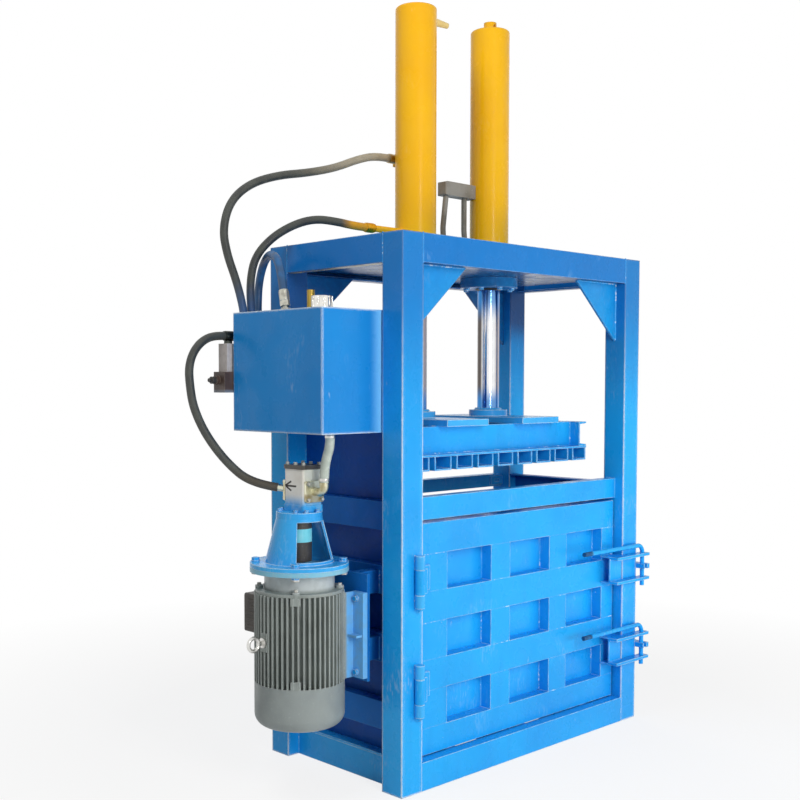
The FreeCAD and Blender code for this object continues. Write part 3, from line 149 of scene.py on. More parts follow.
HOSE_PRESSURE = (
    (-0.969, 0.275, 1.580),
    (-1.019, 0.275, 1.580),
    (-1.070, 0.274, 1.559),
    (-1.109, 0.272, 1.519),
    (-1.130, 0.268, 1.467),
    (-1.131, 0.262, 1.410),
    (-1.130, 0.244, 1.330),
    (-1.104, 0.210, 1.236),
    (-1.050, 0.166, 1.140),
    (-0.986, 0.106, 1.064),
    (-0.920, 0.040, 1.0505),
)
HOSE_SUCTION = (
    (-0.898, -0.180, 1.080),
    (-0.898, -0.180, 1.1175),
    (-0.894, -0.186, 1.1615),
    (-0.886, -0.196, 1.20225),
    (-0.886, -0.196, 1.243),
)


# ---- settings


class BalerHoses(bpy.types.PropertyGroup):
    hose_diameter: FloatProperty(
        name="Hose diameter", description="Outside of the hydraulic hoses", default=0.030, unit="LENGTH"
    )
    suction_diameter: FloatProperty(
        name="Suction diameter", description="Outside of the clear suction hose", default=0.032, unit="LENGTH"
    )
    sleeve_radius: FloatProperty(
        name="Sleeve radius", description="Outside of a crimped sleeve", default=0.0182, unit="LENGTH"
    )
    sleeve_length: FloatProperty(
        name="Sleeve length", description="Length of a crimped sleeve", default=0.034, unit="LENGTH"
    )


class BalerWelds(bpy.types.PropertyGroup):
    fillet_radius: FloatProperty(
        name="Fillet bead", description="Radius of a weld bead in a corner", default=0.0042, unit="LENGTH"
    )
    flush_radius: FloatProperty(
        name="Dressed bead", description="Radius of a bead ground nearly flush", default=0.003, unit="LENGTH"
    )
    ripple_pitch: FloatProperty(
        name="Ripple", description="From one ripple of a bead to the next", default=0.004, unit="LENGTH"
    )
    spatter_count: IntProperty(
        name="Spatter", description="Droplets of weld spatter left on the door", default=70, min=0
    )


class BalerPaint(bpy.types.PropertyGroup):
    frame_colour: StringProperty(
        name="Frame enamel", description="sRGB hex colour of the frame", default="1FACF2"
    )
    cylinder_colour: StringProperty(
        name="Cylinder enamel", description="sRGB hex colour of the cylinders", default="F9BE1B"
    )
    edge_radius: FloatProperty(
        name="Edge radius", description="How far paint rounds an edge", default=0.005, unit="LENGTH"
    )


class BalerStage(bpy.types.PropertyGroup):
    camera_place: FloatVectorProperty(
        name="Camera", description="Where the camera stands", default=(-3.377, -3.000, 1.412), subtype="XYZ"
    )
    camera_azimuth: FloatProperty(
        name="Azimuth", description="Degrees the view is turned from straight at the door", default=-43.03
    )
    camera_elevation: FloatProperty(
        name="Elevation", description="Degrees the camera looks down", default=2.87
    )
    focal_length: FloatProperty(
        name="Focal length", description="In millimetres, on a sensor 36 mm wide", default=50.72
    )
    shift: FloatVectorProperty(
        name="Shift", description="Lens shift of the photograph's framing", default=(0.0526, 0.0494), size=2
    )
    key_power: FloatProperty(name="Key light", description="Watts of the softbox in front", default=94.0)
    low_power: FloatProperty(name="Low light", description="Watts of the softbox by the floor", default=32.0)
    overhead_power: FloatProperty(name="Top light", description="Watts of the softbox overhead", default=48.0)
    rear_power: FloatProperty(name="Rear light", description="Watts of the softbox behind", default=60.0)
    strip_power: FloatProperty(name="Strip light", description="Watts of the tall strip", default=30.0)
    sky: FloatProperty(name="Sky", description="Strength of the even light all round", default=0.16)
    floor_glow: FloatProperty(name="Floor glow", description="Own share of the floor's white", default=0.82)


class BalerSettings(bpy.types.PropertyGroup):
    hoses: PointerProperty(type=BalerHoses)
    welds: PointerProperty(type=BalerWelds)
    paint: PointerProperty(type=BalerPaint)
    stage: PointerProperty(type=BalerStage)


# ---- tools


def linear(hex_colour):
    """An sRGB hex colour as linear RGBA."""
    levels = [int(hex_colour[i : i + 2], 16) / 255 for i in (0, 2, 4)]
    return (*[c / 12.92 if c <= 0.04045 else ((c + 0.055) / 1.055) ** 2.4 for c in levels], 1.0)


def add(tree, kind, inputs=None, **settings):
    """Add one node, give it its settings, and set or link its inputs."""
    made = tree.nodes.new(kind)
    for key, value in settings.items():
        setattr(made, key, value)
    for key, value in (inputs or {}).items():
        if isinstance(value, bpy.types.NodeSocket):
            tree.links.new(value, made.inputs[key])
        else:
            made.inputs[key].default_value = value
    return made


def bare_tree(owner):
    """A material's or world's node tree, emptied."""
    owner.use_nodes = True
    owner.node_tree.nodes.clear()
    return owner.node_tree


def deselect():
    bpy.ops.object.select_all(action="DESELECT")


def select(*objects):
    """Select these objects alone, the first one active."""
    deselect()
    for item in objects:
        item.select_set(True)
    bpy.context.view_layer.objects.active = objects[0]


def settle(piece, name):
    """Name a piece and put its place into its mesh."""
    piece.name = name
    piece.data.name = name
    select(piece)
    bpy.ops.object.transform_apply(location=True, rotation=True, scale=True)
    return piece


def join(pieces, name):
    """Make one piece of several."""
    select(*pieces)
    if len(pieces) > 1:
        bpy.ops.object.join()
    return settle(bpy.context.view_layer.objects.active, name)


def turned(profile, sides=24):
    """Turn a piece on the Z axis: a circle, extruded and resized from one (radius, height) to the next."""
    deselect()
    radius, height = profile[0]
    bpy.ops.mesh.primitive_circle_add(vertices=sides, radius=radius, location=(0, 0, height))
    piece = bpy.context.active_object
    bpy.ops.object.transform_apply(location=True, rotation=True, scale=True)
    bpy.ops.object.mode_set(mode="EDIT")
    for next_radius, next_height in profile[1:]:
        bpy.ops.mesh.extrude_region_move(TRANSFORM_OT_translate={"value": (0, 0, next_height - height)})
        share = next_radius / radius
        bpy.ops.transform.resize(value=(share, share, 1), center_override=(0, 0, next_height))
        radius, height = next_radius, next_height
    bpy.ops.mesh.select_all(action="SELECT")
    bpy.ops.mesh.remove_doubles(threshold=1e-6)
    bpy.ops.mesh.normals_make_consistent(inside=False)
    bpy.ops.object.mode_set(mode="OBJECT")
    return piece


def twin_of(piece):
    """A copy of a piece, with its own mesh."""
    twin = piece.copy()
    twin.data = piece.data.copy()
    bpy.context.collection.objects.link(twin)
    return twin


def copy_to(piece, place, direction):
    """A copy of a piece whose Z axis is turned to a direction and whose origin is moved to a place."""
    twin = twin_of(piece)
    twin.rotation_mode = "QUATERNION"
    twin.rotation_quaternion = Vector(direction).to_track_quat("Z", "Y")
    twin.location = place
    return twin


def dress(piece, finish):
    """Give a piece one of the finishes."""
    piece.data.materials.clear()
    piece.data.materials.append(materials[finish])


def fit(piece, finish, body, angle=35):
    """Smooth a new piece, give it its finish and its slot, and let it ride on its body."""
    select(piece)
    bpy.ops.object.shade_smooth_by_angle(angle=math.radians(angle))
    dress(piece, finish)
    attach(piece, body)


# ---- materials


class Coat:
    """A finish as it is laid down: its material, its nodes, its colour so far and object coordinates."""

    def __init__(self, name, base):
        self.material = bpy.data.materials.new(name)
        self.tree = bare_tree(self.material)
        self.shader = add(self.tree, "ShaderNodeBsdfPrincipled")
        add(self.tree, "ShaderNodeOutputMaterial", {"Surface": self.shader.outputs["BSDF"]})
        self.place = add(self.tree, "ShaderNodeTexCoord").outputs["Object"]
        self.colour = linear(base)

    def patches(self, size, low, high, least=0.0, most=1.0, detail=3.0, stretch=(1.0, 1.0, 1.0)):
        """How strong a finish is where it comes and goes in blotches about size metres across."""
        laid = add(self.tree, "ShaderNodeMapping", {"Vector": self.place, "Scale": stretch})
        grain = {"Vector": laid.outputs["Vector"], "Scale": 1 / size, "Detail": detail}
        cloud = add(self.tree, "ShaderNodeTexNoise", grain).outputs["Fac"]
        levels = {"Value": cloud, "From Min": low, "From Max": high, "To Min": least, "To Max": most}
        return add(self.tree, "ShaderNodeMapRange", levels, interpolation_type="SMOOTHSTEP").outputs["Result"]

    def drift(self, axis, start, end, most=1.0, place=None):
        """How thick a drift of spray lies, from none at start to most at end along an axis."""
        reach = add(self.tree, "ShaderNodeSeparateXYZ", {"Vector": place or self.place}).outputs[axis]
        levels = {"Value": reach, "From Min": start, "From Max": end, "To Max": most}
        return add(self.tree, "ShaderNodeMapRange", levels, interpolation_type="SMOOTHSTEP").outputs["Result"]

    def lay(self, tint, *shares):
        """Lay a tint over the colour so far, as thick as all its shares together allow."""
        share, *others = shares
        for more in others:
            both = {0: share, 1: more}
            share = add(self.tree, "ShaderNodeMath", both, operation="MULTIPLY").outputs["Value"]
        mixed = add(self.tree, "ShaderNodeMix", {0: share, 6: self.colour, 7: linear(tint)}, data_type="RGBA")
        self.colour = mixed.outputs[2]

    def edges(self, radius):
        """The normal rounded at the edges, and how close a point is to an edge."""
        rounded = add(self.tree, "ShaderNodeBevel", {"Radius": radius}, samples=6).outputs["Normal"]
        flat = add(self.tree, "ShaderNodeNewGeometry").outputs["Normal"]
        facing = add(self.tree, "ShaderNodeVectorMath", {0: rounded, 1: flat}, operation="DOT_PRODUCT")
        levels = {"Value": facing.outputs["Value"], "From Min": 0.992, "From Max": 0.93}
        near = add(self.tree, "ShaderNodeMapRange", levels, interpolation_type="SMOOTHSTEP")
        return rounded, near.outputs["Result"]

    def finish(self, roughness, relief, depth, strength, normal=None):
        """Give the shader its colour, its roughness and a fine relief that is depth metres deep."""
        inputs = {"Height": relief, "Strength": strength, "Distance": depth}
        if normal:
            inputs["Normal"] = normal
        bump = add(self.tree, "ShaderNodeBump", inputs).outputs["Normal"]
        for socket, value in (("Base Color", self.colour), ("Roughness", roughness), ("Normal", bump)):
            self.tree.links.new(value, self.shader.inputs[socket])
        return self.material


def enamel(
    name,
    paint,
    deep=DEEP_BLUE,
    worn=PALE_BLUE,
    wear=0.8,
    gloss=0.28,
    extra=None,
    least=0.4,
    radius=None,
    shine=0.24,
):
    """Alkyd enamel sprayed on rolled steel: a glossy coat with orange peel, pale at its edges from rubbed
    wear and from a painted highlight.
    """
    coat = Coat("alkyd_enamel_" + name, paint)
    rounded, edge = coat.edges(radius or bpy.context.scene.baler.paint.edge_radius)
    coat.lay(deep, coat.patches(0.45, 0.35, 0.7, most=0.45))
    coat.lay(deep, coat.patches(0.05, 0.5, 0.75, most=0.2, stretch=(1.0, 1.0, 0.12)))
    thin = coat.patches(0.16, 0.55, 0.75, most=0.22)
    coat.lay(worn, thin, coat.patches(0.008, 0.45, 0.7, stretch=(1.0, 1.0, 0.3)))
    # Pale at the edges: rubbed wear there, and a painted highlight along them as well
    coat.lay(worn, edge, coat.patches(0.035, 0.36, 0.6, least * wear, wear, 4.0))
    scuffs = coat.patches(0.012, 0.68, 0.76, most=0.5, detail=5.0, stretch=(1.0, 1.0, 0.25))
    coat.lay(worn, scuffs, coat.patches(0.22, 0.52, 0.7))
    if extra:
        extra(coat)
    dulled = coat.patches(0.08, 0.3, 0.75, gloss - 0.06, gloss + 0.12)
    peel = coat.patches(5 * MM, 0.0, 1.0, detail=1.0)
    coat.shader.inputs["Specular IOR Level"].default_value = shine
    return coat.finish(dulled, peel, 0.4 * MM, 0.12, rounded)


def casting(name, paint, deep, worn, grain, gloss=0.42, extra=None, shine=0.35):
    """Satin enamel on a sand casting: grainy under the paint, pale on its edges and dusty in blotches."""
    coat = Coat(name, paint)
    rounded, edge = coat.edges(1.5 * MM)
    coat.lay(deep, coat.patches(0.12, 0.35, 0.7))
    coat.lay(worn, coat.patches(6 * MM, 0.6, 0.75, most=0.3))
    coat.lay(worn, edge, coat.patches(0.12, 0.3, 0.6, 0.3, 0.85))
    if extra:
        extra(coat)
    dulled = coat.patches(0.12, 0.3, 0.7, gloss - 0.08, gloss + 0.12)
    sand = coat.patches(grain, 0.0, 1.0, detail=2.0)
    coat.shader.inputs["Specular IOR Level"].default_value = shine
    return coat.finish(dulled, sand, 0.4 * MM, 0.35, rounded)


def metal(name, tone, stain, rough, stained=0.3, lines=(1.0, 1.0, 1.0), extra=None):
    """Bare or plated metal: its tone, its tarnish in blotches, and the lines of turning or grinding."""
    coat = Coat(name, tone)
    rounded = coat.edges(1.0 * MM)[0]
    coat.lay(stain, coat.patches(0.03, 0.45, 0.75, most=stained, detail=4.0))
    if extra:
        extra(coat)
    dulled = coat.patches(0.03, 0.3, 0.8, rough, rough * 1.8)
    grain = coat.patches(1.5 * MM, 0.0, 1.0, detail=2.0, stretch=lines)
    coat.shader.inputs["Metallic"].default_value = 1.0
    return coat.finish(dulled, grain, 0.1 * MM, 0.06, rounded)


def rubber(name, tone, dust, extra=None, gloss=0.5):
    """A moulded rubber, or a plastic or paint as matt as it: a fine cloth print under a dusty bloom."""
    coat = Coat(name, tone)
    coat.lay(dust, coat.patches(0.05, 0.35, 0.7, most=0.55, detail=4.0))
    if extra:
        extra(coat)
    dulled = coat.patches(0.05, 0.35, 0.7, gloss - 0.12, gloss + 0.1)
    cloth = coat.patches(1.6 * MM, 0.0, 1.0, detail=2.0)
    return coat.finish(dulled, cloth, 0.2 * MM, 0.2)


def overspray(*drifts):
    """Drifts of other paint over a part, each given as its axis, where it starts and ends, tint and most."""

    def spray(coat):
        for axis, start, end, tint, most in drifts:
            uneven = coat.patches(0.02, 0.3, 0.6, 0.8, 1.0)
            coat.lay(tint, coat.drift(axis, start, end, most), uneven)

    return spray


def underside_shade_and_bare_edge(coat):
    """Painted shade under the beams, and mill steel along the left one's lower inner edge."""
    coat.lay("174880", coat.drift("Z", BEAM_BASE + 0.8 * MM, BEAM_BASE + 0.3 * MM, 0.9))
    coat.lay(
        "D0B27C",
        coat.drift("Z", BEAM_BASE + 9 * MM, BEAM_BASE + 3 * MM),
        coat.drift("X", 46 * MM - posts_high.x, 40 * MM - posts_high.x),
        coat.drift("X", 6 * MM - posts_high.x, 12 * MM - posts_high.x),
        coat.patches(0.06, 0.3, 0.5),
    )


def painted_reflection_band(coat):
    """A painted reflection on the tank's sheet: a pale band in upright strokes beside the post."""
    band = coat.drift("X", tank_high.x - 0.150, tank_high.x - 0.085, 0.95)
    coat.lay("7FCDFF", band, coat.patches(0.05, 0.25, 0.6, 0.7, 1.0, stretch=(1.0, 1.0, 0.04)))


def post_shading(coat):
    """Painted shade on the posts: darker towards their tops, and a painted shadow inside the back posts,
    under the plate.
    """
    coat.lay(TOP_SHADE_BLUE, coat.drift("Z", TOP_SHADE_FROM, TOP_SHADE_FULL, 0.85))
    coat.lay(
        "17427A",
        coat.drift("Z", 1.58, 1.70, 0.85),
        coat.drift("Y", POST_INNER_Y - 2 * MM, POST_INNER_Y - 1 * MM),
        coat.drift("Y", POST_INNER_Y + 2 * MM, POST_INNER_Y + 1 * MM),
    )


def nipple_tint(coat):
    """Thin pale coat on the bleed nipple that stands out of the left cylinder."""
    coat.lay("EAD594", coat.drift("X", -0.134, -0.126, 0.8), coat.drift("X", 0.10, 0.09))


def fitting_spray(coat):
    """What each fitting shows: a brass breather, a dirty elbow and pump end, yellow and tan at the ports."""
    coat.lay("B99C4C", coat.drift("X", -0.793, -0.791), coat.drift("Z", 1.655, 1.660))
    coat.lay("3F433F", coat.drift("X", -0.915, -0.925), coat.drift("Z", 1.548, 1.556))
    coat.lay("3C3A33", coat.drift("Z", 1.25, 1.20))
    coat.lay("E2A21C", coat.drift("X", -0.500, -0.470, 0.95))
    coat.lay("B3A27C", coat.drift("Z", 2.20, 2.22, 0.9))


def rod_flank_shading(coat):
    """Painted shade and reflection down both flanks of each rod, dark brown on one as a painted shade and
    mauve-grey on the other as a painted reflection, and blue towards both ends of the bare stretch.
    """
    tree = coat.tree
    axes = add(tree, "ShaderNodeSeparateXYZ", {"Vector": coat.place}).outputs
    side = add(tree, "ShaderNodeMath", {0: axes["X"]}, operation="SIGN").outputs["Value"]
    middle = {0: side, 1: -CYLINDER_X, 2: axes["X"]}
    across = add(tree, "ShaderNodeMath", middle, operation="MULTIPLY_ADD").outputs["Value"]
    behind = add(tree, "ShaderNodeMath", {0: axes["Y"], 1: CYLINDER_Y}, operation="SUBTRACT").outputs["Value"]
    own = add(tree, "ShaderNodeCombineXYZ", {"X": across, "Y": behind}).outputs["Vector"]
    turn = {"Vector": own, "Rotation": (0.0, 0.0, math.radians(SHADED_FLANK))}
    flank = add(tree, "ShaderNodeMapping", turn).outputs["Vector"]
    uneven = coat.patches(0.03, 0.3, 0.6, 0.75, 1.0, stretch=(1.0, 1.0, 0.05))
    coat.lay("4A403A", coat.drift("X", -0.58 * ROD_RADIUS, -0.80 * ROD_RADIUS, 0.95, flank), uneven)
    coat.lay("8B8088", coat.drift("X", 0.42 * ROD_RADIUS, 0.74 * ROD_RADIUS, 0.85, flank), uneven)
    coat.lay("2A86CF", coat.drift("Z", glands_low.z - 0.15, glands_low.z - 0.04, 0.85))
    coat.lay("2A86CF", coat.drift("Z", rod_foot + 0.10, rod_foot + 0.02, 0.85))


def bare_bolts(coat):
    """Zinc showing on the pump's bolts and on the bolts at the motor's shoulder, the rest sprayed over."""
    over_foot = coat.drift("Z", pump_low.z + 18 * MM, pump_low.z + 22 * MM)
    coat.lay("B9BAB2", over_foot, coat.drift("Z", 1.20, 1.19))
    shoulder = (coat.drift("Z", 0.770, 0.765), coat.drift("Z", 0.695, 0.700))
    coat.lay("D2D0C8", *shoulder, coat.drift("X", -0.772, -0.778))


def flecks(coat):
    """Slag and bare weld metal that the spray left pale on the beads."""
    coat.lay("E4F2FA", coat.patches(0.012, 0.52, 0.62, most=0.8), coat.patches(0.09, 0.4, 0.6))


def make_materials():
    """Every finish on the machine, by its short name."""
    paint = bpy.context.scene.baler.paint
    blue = paint.frame_colour
    yellow = paint.cylinder_colour
    made = {}
    # Blue alkyd enamel on rolled channel and plate, glossy, with pale edges that are partly rubbed wear and
    # partly a painted highlight, darker towards the top as a painted shade
    upper_shade = overspray(("Z", TOP_SHADE_FROM, TOP_SHADE_FULL, TOP_SHADE_BLUE, 0.85))
    made["blue"] = enamel("blue", blue, extra=upper_shade)
    # A darker blue on the top beams, a painted shade for the weaker light at the top, and painted shade under
    # them; one hidden edge stayed bare
    made["beams"] = enamel("blue_beams_shaded", "157AC8", "126FBA", wear=0.6, extra=underside_shade_and_bare_edge)
    # The frame's coat on the posts, whose corners are painted nearly white from end to end as a painted
    # highlight, with painted shade at their tops and under the plate
    made["posts"] = enamel(
        "blue_posts", blue, worn=EDGE_HIGHLIGHT_BLUE, wear=1.0, extra=post_shading, least=0.75, radius=10 * MM
    )
    # The frame's coat on the gussets, with painted shade on the back ones behind the plate, and darker
    # towards the top
    hidden = overspray(("Y", 0.270, 0.280, "16345F", 0.9), ("Z", TOP_SHADE_FROM, TOP_SHADE_FULL, TOP_SHADE_BLUE, 0.5))
    made["gussets"] = enamel("blue_gussets", blue, wear=0.6, extra=hidden)
    # A lighter mix on the back wall's bars and its lug, a painted light where little light reaches them
    made["back_wall"] = enamel("blue_back_bars_lightened", "46BDF8", "2B9DE6", wear=0.7)
    # The frame's blue darkened on the side walls and, less, on their bars, a painted shade behind the power
    # unit
    made["walls"] = enamel("blue_walls_shaded", "1159AE", "0F4C98", "3F86CC", wear=0.4, shine=0.1)
    made["wall_bars"] = enamel("blue_wall_bars_shaded", "1773C6", "1362AE", "4F9BDD", wear=0.5, shine=0.1)
    # The frame's coat on the cylinder plate, with a painted shade under it
    underside = overspray(("Z", plate_low.z + 2 * MM, plate_low.z + 1 * MM, "123F73", 0.92))
    made["plate"] = enamel("blue_plate", blue, extra=underside)
    # A darker coat of it on the tank's thin sheet, with a painted reflection beside the post and a painted
    # highlight along its edges
    made["tank"] = enamel(
        "blue_tank", "1A8CD8", "187BC6", EDGE_HIGHLIGHT_BLUE, 1.0, extra=painted_reflection_band, least=0.75, radius=9 * MM
    )
    # The frame's coat on the latch pins, dark at their left end
    dark_left_end = overspray(("X", 0.362, 0.346, "1C3F68", 0.95))
    made["latch_pin"] = enamel("blue_pins", blue, wear=0.6, extra=dark_left_end)
    # A lighter coat of it on castings and flanges, whose pale edges are a painted highlight that makes them
    # look rounder and brighter, with painted shade on the glands under the plate
    gland_shade = overspray(("Z", glands_low.z - 5 * MM, glands_low.z, "1A5CA4", 0.7))
    made["blue_cast"] = enamel(
        "blue_cast", "42B5F4", "2491E0", "D8F2FD", 0.95, 0.24, gland_shade, least=0.6
    )
    # The frame's coat on the bolts, some of them still in their zinc
    made["bolts"] = enamel("blue_bolts", blue, "1474CC", "D9F1FC", gloss=0.24, extra=bare_bolts)
    # The frame's coat on weld beads, flecked where it didn't wet the slag
    made["weld"] = enamel("blue_beads", blue, wear=0.5, extra=flecks, radius=1 * MM)
    # Orange-yellow alkyd enamel on cold drawn tube, paler on the bleed nipple
    made["yellow"] = enamel("yellow", yellow, "F2A70C", "FFE7A6", 0.35, 0.2, nipple_tint)
    # Hard chrome on a ground rod: a mirror with a painted shade and reflection down its flanks, and blue
    # towards its ends
    made["rod"] = metal("hard_chrome_plate", "F2F3F4", "C9CCD2", 0.13, 0.2, (1.0, 1.0, 8.0), rod_flank_shading)
    # Bright chrome on a pressed cap, yellowed a little
    made["cap"] = metal("bright_chrome_plate", "ECE9E2", "77726A", 0.09, 0.7)
    # Grey-green satin enamel on the motor's iron castings, blue where the frame's spray reached its feet
    feet = overspray(("X", -0.813, -0.800, "70BDF6", 0.97))
    made["motor"] = casting("grey_enamel_cast_iron", "979F9B", "808884", "DDE3DF", 3 * MM, extra=feet)
    # The same enamel on the end shields, a paler neck under a flange that took the blue
    neck = overspray(("Z", 0.712, 0.730, "C9D0D1", 0.9), ("Z", 0.771, 0.777, "74BFDA", 0.9))
    made["shields"] = casting("grey_enamel_end_shields", "979F9B", "808884", "DDE3DF", 3 * MM, extra=neck)
    # The same enamel on a drawn steel fan cover, smooth and even
    made["cover"] = casting("grey_enamel_drawn_steel", "949C9A", "868E8D", "B8BFBC", 8 * MM, 0.4)
    # Brown-black enamel on the terminal box
    made["box"] = casting("black_enamel_cast_iron", "4E4843", "3B3733", "857E76", 3 * MM)
    # Oily bare cast iron of the hubs, stator, pump cover and lever
    made["iron"] = casting("oiled_cast_iron", "4B4844", "33312F", "99958D", 2.5 * MM, 0.34, shine=0.5)
    # The same iron on the valve, browner, under a block of pale aluminium
    block = overspray(("Z", 1.450, 1.455, "C6BFBB", 0.95), ("Z", 1.392, 1.382, "7F8894", 0.8))
    made["valve"] = casting("oiled_cast_valve", "5E4A41", "42352F", "A0948A", 2.5 * MM, 0.36, block, 0.5)
    # Cream enamel on the pump's die casting, greyer on its port side, with blue drift over its foot
    body = overspray(
        ("Y", -0.118, -0.124, "B9C2B4", 0.85),
        ("Z", pump_low.z + 0.062, pump_low.z + 0.014, "2FA6E6", 1.0),
    )
    made["cream"] = casting("cream_enamel_die_cast", "F3F1E9", "E2DDD0", "FFFFFB", 4 * MM, 0.35, body)
    # Zinc on the port flanges, with brown oil under the elbow
    grime = overspray(("Z", pump_low.z + 0.066, pump_low.z + 0.058, "A88E5E", 0.35))
    made["port"] = metal("zinc_plated_flange", "E2E1C8", "A0946A", 0.34, 0.8, extra=grime)
    # Cast polyurethane of the coupling's disc, cyan under a thin drift of paint
    made["cyan"] = rubber("cast_polyurethane_cyan", "74D8E6", "A9ECF2", gloss=0.4)
    # Zinc plate on fittings, under whatever drift reached each of them
    made["zinc"] = metal("zinc_plated_steel", "C9C7BA", "7C776A", 0.3, 0.6, extra=fitting_spray)
    # Turned steel of shafts and gears, and the forged lifting eye, bright
    made["steel"] = metal("turned_steel", "DAD9D5", "A09E98", 0.24, 0.4, (1.0, 1.0, 6.0))
    # Dirty grey primer on the port block and its pipes between the cylinders
    made["tee"] = casting("grey_primer_on_steel", "97938B", "6F6A60", "C4C0B7", 4 * MM, 0.5)
    # Black rubber of the hoses, with blue and yellow drift where the frame and cylinders were sprayed
    frame_spray = ("Z", 1.80, 1.62, "2F6FB4", 0.65)
    oily = overspray(("Z", 1.13, 1.07, "4A4338", 0.85))
    made["hose"] = rubber("nitrile_hose_cover", "3B3D3A", "5A5D56", oily)
    # The return hose tinted blue all over, a painted reflection of the blue frame
    made["hose_return"] = rubber("nitrile_hose_cover_blue_reflection", "2C4F74", "2F76B4", gloss=0.42)
    lower = overspray(frame_spray, ("X", -0.600, -0.545, "E2A21C", 0.95))
    made["hose_lower"] = rubber("nitrile_hose_cover_oversprayed", "3A3C3C", "55584F", lower)
    upper = overspray(frame_spray, ("X", -0.72, -0.36, "A89F8B", 0.97))
    made["hose_upper"] = rubber("nitrile_hose_cover_faded", "3B3D3A", "5A5D56", upper)
    # Clear vinyl of the suction hose, milky with oil
    made["suction"] = rubber("clear_vinyl_hose", "AEB9AE", "D5DBD0", gloss=0.28)
    # Nitrile lip of the rod wipers
    made["seal"] = rubber("nitrile_seal", "1E1E1E", "2E2E2D")
    # Black stencil paint of the pump's arrow
    made["stencil"] = rubber("black_stencil_paint", "26231F", "38342E")
    return made


# The nodes that each finish covers. All the others wear the frame's blue
FINISH = {
    "beams": ("top_beams",),
    "posts": ("frame_posts",),
    "gussets": ("corner_gussets",),
    "back_wall": ("back_wall_bars",),
    "walls": ("side_wall_plates",),
    "wall_bars": ("side_wall_bars", "motor_bracket"),
    "plate": ("cylinder_plate",),
    "tank": ("oil_tank",),
    "latch_pin": ("latch_pin_upper", "latch_pin_lower"),
    "blue_cast": ("bell_housing", "cylinder_glands", "rod_flanges", "hinge_knuckles"),
    "bolts": ("machine_bolts",),
    "yellow": ("cylinder_barrels",),
    "rod": ("piston_rods",),
    "cap": ("filler_cap",),
    "motor": ("motor_housing",),
    "shields": ("motor_end_shields",),
    "cover": ("fan_cover", "cooling_fan"),
    "box": ("terminal_box",),
    "iron": ("coupling_hubs", "pump_cover", "motor_stator", "relief_adjuster", "valve_lever"),
    "valve": ("valve_block",),
    "cream": ("pump_body",),
    "port": ("pump_port_flanges",),
    "cyan": ("coupling_spider",),
    "zinc": ("hose_fittings",),
    "steel": ("lifting_eye", "motor_rotor", "pump_drive_gear", "pump_driven_gear"),
    "tee": ("pipe_tee",),
}

materials = {}


# ---- hoses


def hose(name, points, diameter, finish):
    """A hose on one smooth line, in place of the plain solid of its name."""
    data = bpy.data.curves.new(name, "CURVE")
    data.dimensions = "3D"
    data.bevel_depth = diameter / 2
    data.bevel_resolution = 6
    data.resolution_u = 10
    data.use_fill_caps = True
    spline = data.splines.new("NURBS")
    spline.points.add(len(points) - 1)
    for point, place in zip(spline.points, points):
        point.co = (*place, 1.0)
    spline.order_u = 3
    spline.use_endpoint_u = True
    piece = bpy.data.objects.new(name, data)
    bpy.context.collection.objects.link(piece)
    data.materials.append(materials[finish])
    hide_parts(name.removeprefix("rubber_"))
    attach(piece, "frame")
    return piece


class BALER_OT_hoses(bpy.types.Operator):
    """Lay the four hydraulic hoses and the suction hose along their routes"""

    bl_idname = "baler.hoses"
    bl_label = "Hoses"

    def execute(self, context):
        sizes = context.scene.baler.hoses
        wide = sizes.hose_diameter
        free = (
            ("rubber_hose_cylinder_upper", HOSE_UPPER, 1.307, "hose_upper", "loose"),
            ("rubber_hose_cylinder_lower", HOSE_LOWER, 0.843, "hose_lower", "loose"),
            ("rubber_hose_return", HOSE_RETURN, 0.686, "hose_return", "loose"),
            ("rubber_hose_pressure", HOSE_PRESSURE, 0.783, "hose", "hanging"),
        )
        for name, points, length, finish, lay in free:
            piece = hose(name, points, wide, finish)
        hose("rubber_hose_suction", HOSE_SUCTION, sizes.suction_diameter, "suction")
        return {"FINISHED"}


def end_of(points, last):
    """A hose's end and the direction in which it leaves the hose."""
    near, beside = (points[-1], points[-2]) if last else (points[0], points[1])
    return Vector(near), (Vector(near) - Vector(beside)).normalized()


